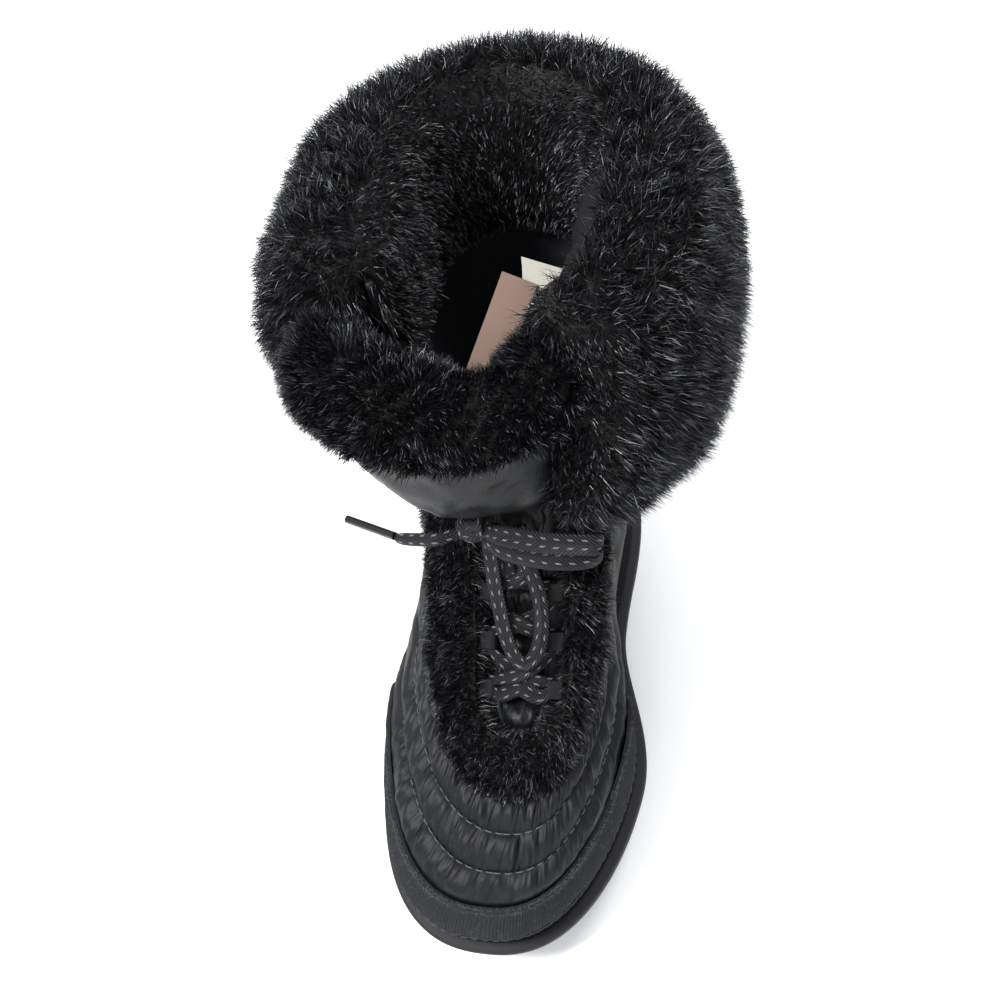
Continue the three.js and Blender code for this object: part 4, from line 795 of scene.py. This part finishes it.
def mesh_of(name):
    """A CAD node's points and triangles, in metres."""
    mesh = NODES[name].data
    mesh.calc_loop_triangles()
    points = np.empty(len(mesh.vertices) * 3)
    mesh.vertices.foreach_get("co", points)
    points = points.reshape(-1, 3)
    world = np.array(NODES[name].matrix_world)
    points = points @ world[:3, :3].T + world[:3, 3]
    triangles = np.empty(len(mesh.loop_triangles) * 3, int)
    mesh.loop_triangles.foreach_get("vertices", triangles)
    return points, triangles.reshape(-1, 3)


def tree_of(names):
    """All triangles of some CAD nodes in one search tree."""
    points, triangles, first = [], [], 0
    for name in names:
        p, f = mesh_of(name)
        points.append(p)
        triangles.append(f + first)
        first += len(p)
    return BVHTree.FromPolygons(np.concatenate(points).tolist(), np.concatenate(triangles).tolist())


fur, fur_surface = new_material("black faux fur")  # black roots and grey tips: painted shade down in the pile and painted glints on the tips
fur_painted_glints = ramp(fur, read(fur, "tone"), [(0, "#040405"), (0.62, "#141417"), (1, "#8d919c")])
principled(fur, fur_surface, fur_painted_glints, 0.34, Specular_IOR_Level=0.42)
fur_base, fur_base_surface = new_material("black fur backing")  # what shows between the tufts
principled(fur_base, fur_base_surface, "#0a0a0c", 0.7, Specular_IOR_Level=0.25)


def roots_on(base, count, rng):
    """Places spread by area over a solid, with the way out of it, in millimetres."""
    points, triangles = mesh_of(base)
    a, b, c = (points[triangles[:, k]] for k in range(3))
    cross = np.cross(b - a, c - a)
    area = np.linalg.norm(cross, axis=1)
    face_normal = cross / np.maximum(area[:, None], 1e-12)
    vertex_normal = np.zeros_like(points)
    for k in range(3):
        np.add.at(vertex_normal, triangles[:, k], cross)
    vertex_normal = unit(vertex_normal)
    pick = rng.choice(len(triangles), count, p=area / area.sum())
    r1, r2 = np.sqrt(rng.random(count)), rng.random(count)
    w = np.stack([1 - r1, r1 * (1 - r2), r1 * r2], -1)
    root = sum(w[:, k, None] * points[triangles[pick, k]] for k in range(3)) * 1000
    rounded = sum(w[:, k, None] * vertex_normal[triangles[pick, k]] for k in range(3))
    normal = unit(rounded + 0.4 * face_normal[pick])
    slide = rng.normal(size=(count, 3)) * ROOT_SLIDE
    return root + slide - normal * (slide * normal).sum(-1, keepdims=True), normal


def grow(name, base, count, length, flow, seed, width=0.34, near=4.0, keep=(), lean=0.4, cut=None):
    """Loose fibres on a solid, leaning with flow and with their tuft, and clear of the other solids."""
    rng = np.random.default_rng(seed)
    root, normal = roots_on(base, count, rng)
    p = root / TUFT
    x, y, z = p.T
    swirl = np.stack([wavy2(y + z * 0.7, x + z * 0.4, seed + k) for k in (1, 2, 3)], -1)
    tuft = np.stack([wavy2(x * 2.6 + z * 1.9, y * 2.6 - z * 1.3, seed + k) for k in (4, 5, 6)], -1)
    flow = flow(root, normal) if callable(flow) else np.asarray(flow, float)
    way = unit(normal + lean * flow + 0.35 * swirl + 0.32 * tuft + 0.2 * rng.normal(size=(count, 3)))
    size = length * (0.78 + 0.16 * wavy2(x * 2.1 + z, y * 2.1, seed + 7))
    size = size * rng.uniform(0.7, 1.15, count)
    if cut:
        size *= cut(root, normal)
    others = tree_of([n for n in NODES if n not in (base, *keep)])
    alive = np.ones(count, bool)
    for i in range(count):
        start = Vector(root[i] / 1000 + normal[i] * 0.0002)
        if others.ray_cast(start, Vector(normal[i]), near / 1000)[0] is not None:
            alive[i] = False
            continue
        hit = others.ray_cast(start, Vector(way[i]), size[i] / 1000)
        if hit[0] is not None:
            size[i] = max(0.0, hit[3] * 1000 - 0.4)
            alive[i] = size[i] > 1.5
    alive &= size > SHORTEST
    root, way, size, tuft = root[alive], way[alive], size[alive], tuft[alive]
    n = len(root)
    droop = unit(way + 0.35 * (flow[alive] if flow.ndim > 1 else flow) + 0.3 * tuft)
    middle = root + way * size[:, None] * 0.55
    tip = middle + droop * size[:, None] * 0.45
    flat = unit(np.cross(way, rng.normal(size=(n, 3)))) * (width / 2 * rng.uniform(0.7, 1.2, n)[:, None])
    strand = [root - flat, root + flat, middle + flat * 0.75, middle - flat * 0.75, tip]
    first = np.arange(n)[:, None] * 5
    faces = (first + [0, 1, 2, 3]).tolist() + (first + [3, 2, 4]).tolist()
    # Painted light in each fibre's colour: the roots are painted shade down in the pile, the tips are
    # lighter as painted glints, and a random few fibres get a much brighter painted glint.
    patches = wavy2(root[:, 0] / 5, root[:, 1] / 5 + root[:, 2] / 6, seed + 9)
    painted_glint = np.clip(rng.random(n) ** 4 + 0.12 * patches, 0, 1)
    tones = [0 * painted_glint, 0 * painted_glint, 0.25 + painted_glint * 0.5, 0.25 + painted_glint * 0.5, 0.35 + painted_glint * 0.65]
    verts = np.stack(strand, 1).reshape(-1, 3) - SHIFT
    return add_mesh(name, verts, faces, fur, "fur", shade=False, tone=np.stack(tones, 1))


for fur_node in ("cuff", "tongue_fur", "fur_panel"):
    dress(fur_node, fur_base)
QUICK = 1.0
SHAFT_MIDDLE = np.array([0, 62.0, 0])


def cuff_trim(root, normal):
    """Pile is full outside and on top, and short on the side that faces into the opening."""
    inward = unit((SHAFT_MIDDLE - root) * np.array([1, 0.7, 0]))
    facing = (normal * inward).sum(-1)
    lined_flap = smooth((root[:, 0] - 10) / 20) * smooth((90 - root[:, 1]) / 40)
    towards_tongue = smooth(-normal[:, 0] * np.sign(root[:, 0]) / 0.5)
    edge = smooth((6 - root[:, 1]) / 10) * smooth((0.3 - np.abs(normal[:, 0])) / 0.5 + towards_tongue)
    return (1 - smooth((facing - 0.05) / 0.5) * (0.5 + 0.45 * lined_flap)) * (1 - 0.5 * edge)


def cuff_flow(root, normal):
    """Pile hangs down outside; along the two front edges it is brushed away from the tongue."""
    front = smooth((14 - root[:, 1]) / 16)
    aside = np.sign(root[:, 0] + 8) * front
    return np.stack([0.9 * aside, -0.1 + 0.2 * front, -0.7 + 0.3 * front], -1)


def tongue_trim(root, normal):
    """The tongue's roll is cropped towards its lower edge, so that the nylon below it shows."""
    notch = np.exp(-(((root[:, 0] - 4) / 8) ** 2)) * smooth(normal[:, 2] / 0.5)
    return (1 - 0.7 * smooth((-normal[:, 2] + 0.1) / 0.6)) * (1 - 0.65 * notch)


CUFF_FIBRES, TONGUE_FIBRES, PANEL_FIBRES = (int(n * QUICK) for n in (64000, 52000, 60000))
CUFF_LENGTH, TONGUE_LENGTH, PANEL_LENGTH = 11.5, 9.5, 7.0
for part in range(3):
    pile = f"cuff_pile_{part + 1}"
    grow(pile, "cuff", CUFF_FIBRES, CUFF_LENGTH, cuff_flow, 100 + part, keep=["tongue_fur"], cut=cuff_trim)
up_and_out, towards_toe = (0, -0.3, 0.15), (0, -0.7, -0.25)
grow(
    "tongue_pile",
    "tongue_fur",
    TONGUE_FIBRES,
    TONGUE_LENGTH,
    up_and_out,
    120,
    keep=["cuff"],
    cut=tongue_trim,
)
grow("panel_pile", "fur_panel", PANEL_FIBRES, PANEL_LENGTH, towards_toe, 140, width=0.3, near=1.2)

# Laces. Flat braided polyester about 8 mm wide, black with rows of grey flecks. They run zigzag
# through the webbing loops and end in a bow, with one loop to the side and one that hangs down.
LACE_THICK, LACE_SIDES = 1.05, 12
FLECK_ROW, FLECK_HALF, FLECK_PITCH, FLECK_SHARE = 1.5, 0.3, 5, 0.36
braid, braid_surface = new_material("flecked flat braid")  # pale flecks in the black plait
off_middle = calc(braid, "ABSOLUTE", read(braid, "across"))
lean_run = calc(braid, "ADD", read(braid, "run"), calc(braid, "MULTIPLY", off_middle, 1.3))
plait = calc(braid, "PINGPONG", calc(braid, "MULTIPLY", lean_run, 0.62), 0.5)
off_row = calc(braid, "ABSOLUTE", calc(braid, "SUBTRACT", off_middle, FLECK_ROW))
on_row = calc(braid, "LESS_THAN", off_row, FLECK_HALF)
along_fleck = calc(braid, "FRACT", calc(braid, "MULTIPLY", lean_run, 1 / FLECK_PITCH))
fleck = calc(braid, "MULTIPLY", on_row, calc(braid, "LESS_THAN", along_fleck, FLECK_SHARE))
yarn = ramp(braid, fleck, [(0, "#0e0e10"), (1, "#5d5f64")])
plaited = node(braid, "ShaderNodeBump", Strength=0.9, Distance=0.0007, Height=plait)
principled(braid, braid_surface, yarn, 0.6, Normal=plaited.outputs[0], Specular_IOR_Level=0.25)


def lace(points, facing, half):
    """A flat lace along points in the last's frame. half is its half width at each point."""
    points = np.asarray(points, float)
    half = np.broadcast_to(np.asarray(half, float), len(points))
    flat = (half, np.full(len(points), LACE_THICK), facing)
    verts, faces = tube(points, 0, LACE_SIDES, flat=flat)
    run = np.concatenate([[0], np.cumsum(np.linalg.norm(np.diff(points, axis=0), axis=1))])
    angle = np.arange(LACE_SIDES) / LACE_SIDES * 2 * np.pi
    ca = np.sign(np.cos(angle)) * np.abs(np.cos(angle)) ** 0.55
    return verts, faces, np.repeat(run, LACE_SIDES), (ca[None] * half[:, None]).ravel()


def add_laces(name, parts):
    """Several laces as one piece, with the run along each and the place across it."""
    points, faces = join([(p, f) for p, f, _, _ in parts])
    run, across = (np.concatenate([q[k] for q in parts]) for k in (2, 3))
    return add_mesh(name, points, faces, braid, "lace", run=run, across=across)


def smooth_stops(stops, each):
    """A smooth path through stops, with each steps from one to the next."""
    last = len(stops) - 1
    return through(np.array(stops, float), np.linspace(0, last, last * each + 1))


def on_front(stops, each=8):
    """Points and facings of stops (x, t, out, half width) on the boot's front."""
    rows = smooth_stops(stops, each)
    x, t, out, half = rows.T
    u = turn_at(t, np.where(np.abs(x) < 0.001, 0.001, x))
    return offset_point(u, t, out), last_normal(u, t), half


LOOP_ROWS, LOOP_ACROSS, IN_LOOP, PINCHED = [6.35, 7.05, 7.75], 12.8, 3.8, 1.7
crossing_parts = []
for sign, lift in ((1, 0.0), (-1, 1.6)):
    stops = []
    for k, t in enumerate(LOOP_ROWS):
        x = (-1 if k % 2 else 1) * sign * LOOP_ACROSS
        stops += [(x, t - 0.1, IN_LOOP, PINCHED), (x, t + 0.1, IN_LOOP, PINCHED)]
        stops += [(0, t + 0.35, 5.6 + lift, 3.4)]
    stops[-1] = (-2 * sign, *stops[-1][1:])
    stops += [(-3.5 * sign, 8.6, 7, 3.4), (-4 * sign, 9.1, 8.5, 3)]
    crossing_parts.append(lace(*on_front(stops)))
low = LOOP_ROWS[0] + 0.02
bar = [
    (-LOOP_ACROSS, low, IN_LOOP, PINCHED),
    (-7.5, low - 0.02, 4.6, 3.2),
    (0, low + 0.12, 5.2, 3.4),
    (7.5, low - 0.02, 4.6, 3.2),
    (LOOP_ACROSS, low, IN_LOOP, PINCHED),
]
crossing_parts.append(lace(*on_front(bar)))
crossings = add_laces("lace_zigzag", crossing_parts)
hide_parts("lace_crossings")

KNOT = tongue_point(np.array(-0.12), np.array(0.615), np.array(7.6))
WRAPS = [(0.15, -2.6, 5.0), (-0.2, 2.4, 5.0), (1.35, 0.0, 5.6)]  # tilt, place along the bow, radius
WRAP_HALF, WRAP_THICK, WRAP_STEPS = 3.1, 1.1, 39
across_wrap = np.cos(np.arange(LACE_SIDES) / LACE_SIDES * 2 * np.pi) * 3
wraps = []
for tilt, shift, radius in WRAPS:
    a = np.linspace(0, 2 * np.pi, WRAP_STEPS + 1)[:-1]
    ring = np.stack([shift + 0 * a, radius * 0.85 * np.cos(a), radius * np.sin(a)], -1)
    outward = np.stack([0 * a, np.cos(a), np.sin(a)], -1)
    turned = np.array(Matrix.Rotation(tilt, 3, "Y")).T
    flat = (np.full(WRAP_STEPS, WRAP_HALF), np.full(WRAP_STEPS, WRAP_THICK), outward @ turned)
    p, f = tube(ring @ turned + KNOT, 0, LACE_SIDES, closed=True, flat=flat)
    wraps.append((p, f, np.repeat(a * radius, LACE_SIDES), np.tile(across_wrap, WRAP_STEPS)))
knot_piece = add_laces("bow_knot", wraps)
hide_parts("lace_knot")

# Each stop of the bow and the end: place from the knot, the way that the flat side faces, half width.
BOW = [
    (5.5, -3, 2, 0, -0.5, 0.86, 2.6),
    (15, -9, 9, 0, -0.5, 0.86, 3.9),
    (32, -13, 12, 0.1, -0.5, 0.86, 3.9),
    (46, -13, 12, 0.5, -0.5, 0.7, 3.9),
    (50, -11, 9, 1, 0, 0, 3.9),
    (46, -14, 5, 0.5, 0.5, -0.7, 3.9),
    (32, -15, 4, 0, 0.5, -0.86, 3.9),
    (15, -10, 0, 0, 0.5, -0.86, 3.9),
    (5.5, -4, -2, 0, 0.5, -0.86, 2.6),
]
END = [
    (-1, -1.5, 0, 0, -0.5, 0.86, 2.0),
    (-7, -4, 0.5, 0, -0.5, 0.86, 2.3),
    (-14, -7, 1, 0, -0.5, 0.86, 2.6),
    (-27, -5, -3, 0, -0.5, 0.86, 2.4),
    (-31, -3, -5, 0, -0.5, 0.86, 1.4),
]
DROP = [  # x, ring, out, half width
    (-5, 9.15, 11.2, 2.4),
    (-7, 8.6, 10.8, 3.1),
    (-7, 7.9, 10.6, 3.1),
    (-4, 7.2, 10.6, 3.1),
    (2, 6.85, 10.6, 2.9),
    (7, 7.1, 10.6, 3.1),
    (7.5, 7.7, 10.6, 3.1),
    (4, 8.5, 10.8, 3.1),
    (2.5, 9.15, 11.2, 2.4),
]


def free_lace(name, points, facing, half, cad, far_end, width, extra=()):
    """A loop or end of the lace that hangs free, with its length along its path."""
    made = add_laces(name, [lace(points, facing, half)])
    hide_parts(cad)


def from_knot(stops):
    """Points, facings and half widths of stops that are placed from the knot."""
    rows = smooth_stops(stops, 10)
    return KNOT + rows[:, :3], unit(rows[:, 3:6]), rows[:, 6]


free_lace("bow_loop_right", *from_knot(BOW), "bow_loop", "knot", 7.8, ["bow_knot"])
free_lace("free_lace_end", *from_knot(END), "lace_end", "fitting", 5.0, ["aglet"])
free_lace("bow_loop_hanging", *on_front(DROP, 10), "drop_loop", "knot", 6.2)

# Lace loops and aglet. Black webbing folded and sewn under the throat's edge, three loops on each
# side, and a smoked plastic tip pressed on the lace's end.
webbing, webbing_surface = new_material("black webbing tape")  # a fine cross rib and no shine
_, rib = grained(webbing, 1500.0, 2.0, 0.6, 0.0003)
principled(webbing, webbing_surface, "#101012", 0.75, Normal=rib, Specular_IOR_Level=0.25)
plastic, plastic_surface = new_material("smoked plastic tip")  # the one hard highlight
principled(plastic, plastic_surface, "#171214", 0.18, Specular_IOR_Level=0.5)
for name, piece in NODES.items():
    if name.startswith("lace_loop"):
        dress(name, webbing)
        fold = piece.modifiers.new("soft fold", "BEVEL")
        fold.width, fold.segments = 0.0006, 3
dress("aglet", plastic)

# Labels. Two bare woven satin tapes sewn into the lining: a tan one behind the tongue and an
# off-white one on the inner side of the foot. They curl a little at their free ends.
TAPE_COLUMNS, TAPE_ROWS = 24, 40
TAN, OFF_WHITE = "#69544a", "#a9a79d"
SIZE_AT, SIZE_WAY, SIZE_FACE = (3.4, 26.5, 210.5), (0.34, 0.8, 0.55), (0.2, -0.55, 0.8)
CARE_AT, CARE_WAY, CARE_FACE = (21, 45, 221), (0.1, 0.35, 0.93), (-0.35, -0.75, 0.55)
LABELS = [
    ("size_tape", "size_label", SIZE_AT, SIZE_WAY, SIZE_FACE, 13.5, 56, TAN),
    ("care_tape", "care_label", CARE_AT, CARE_WAY, CARE_FACE, 17, 26, OFF_WHITE),
]
for name, cad, centre, way, face, wide, tall, colour in LABELS:
    tape, tape_surface = new_material("woven satin " + name.replace("_", " "))  # pale in the dark
    _, tape_weave = grained(tape, 900.0, 3.0, 0.3, 0.0002)
    principled(tape, tape_surface, colour, 0.85, Normal=tape_weave)
    up = unit(np.array(way, float))
    side = unit(np.cross(up, np.array(face, float)))
    facing = np.cross(side, up)
    columns, rows = np.linspace(-0.5, 0.5, TAPE_COLUMNS), np.linspace(-0.5, 0.5, TAPE_ROWS)
    A, B = (grid[..., None] for grid in np.meshgrid(columns, rows, indexing="xy"))
    curl = 2.2 * (B + 0.5) ** 2 + 0.8 * A * np.sin(B * 5)
    tape_points = np.array(centre) + side * (A * wide) + up * (B * tall) + facing * curl
    tape_piece = add_mesh(name, tape_points, grid_faces(TAPE_ROWS, TAPE_COLUMNS), tape, "label")
    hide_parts(cad)
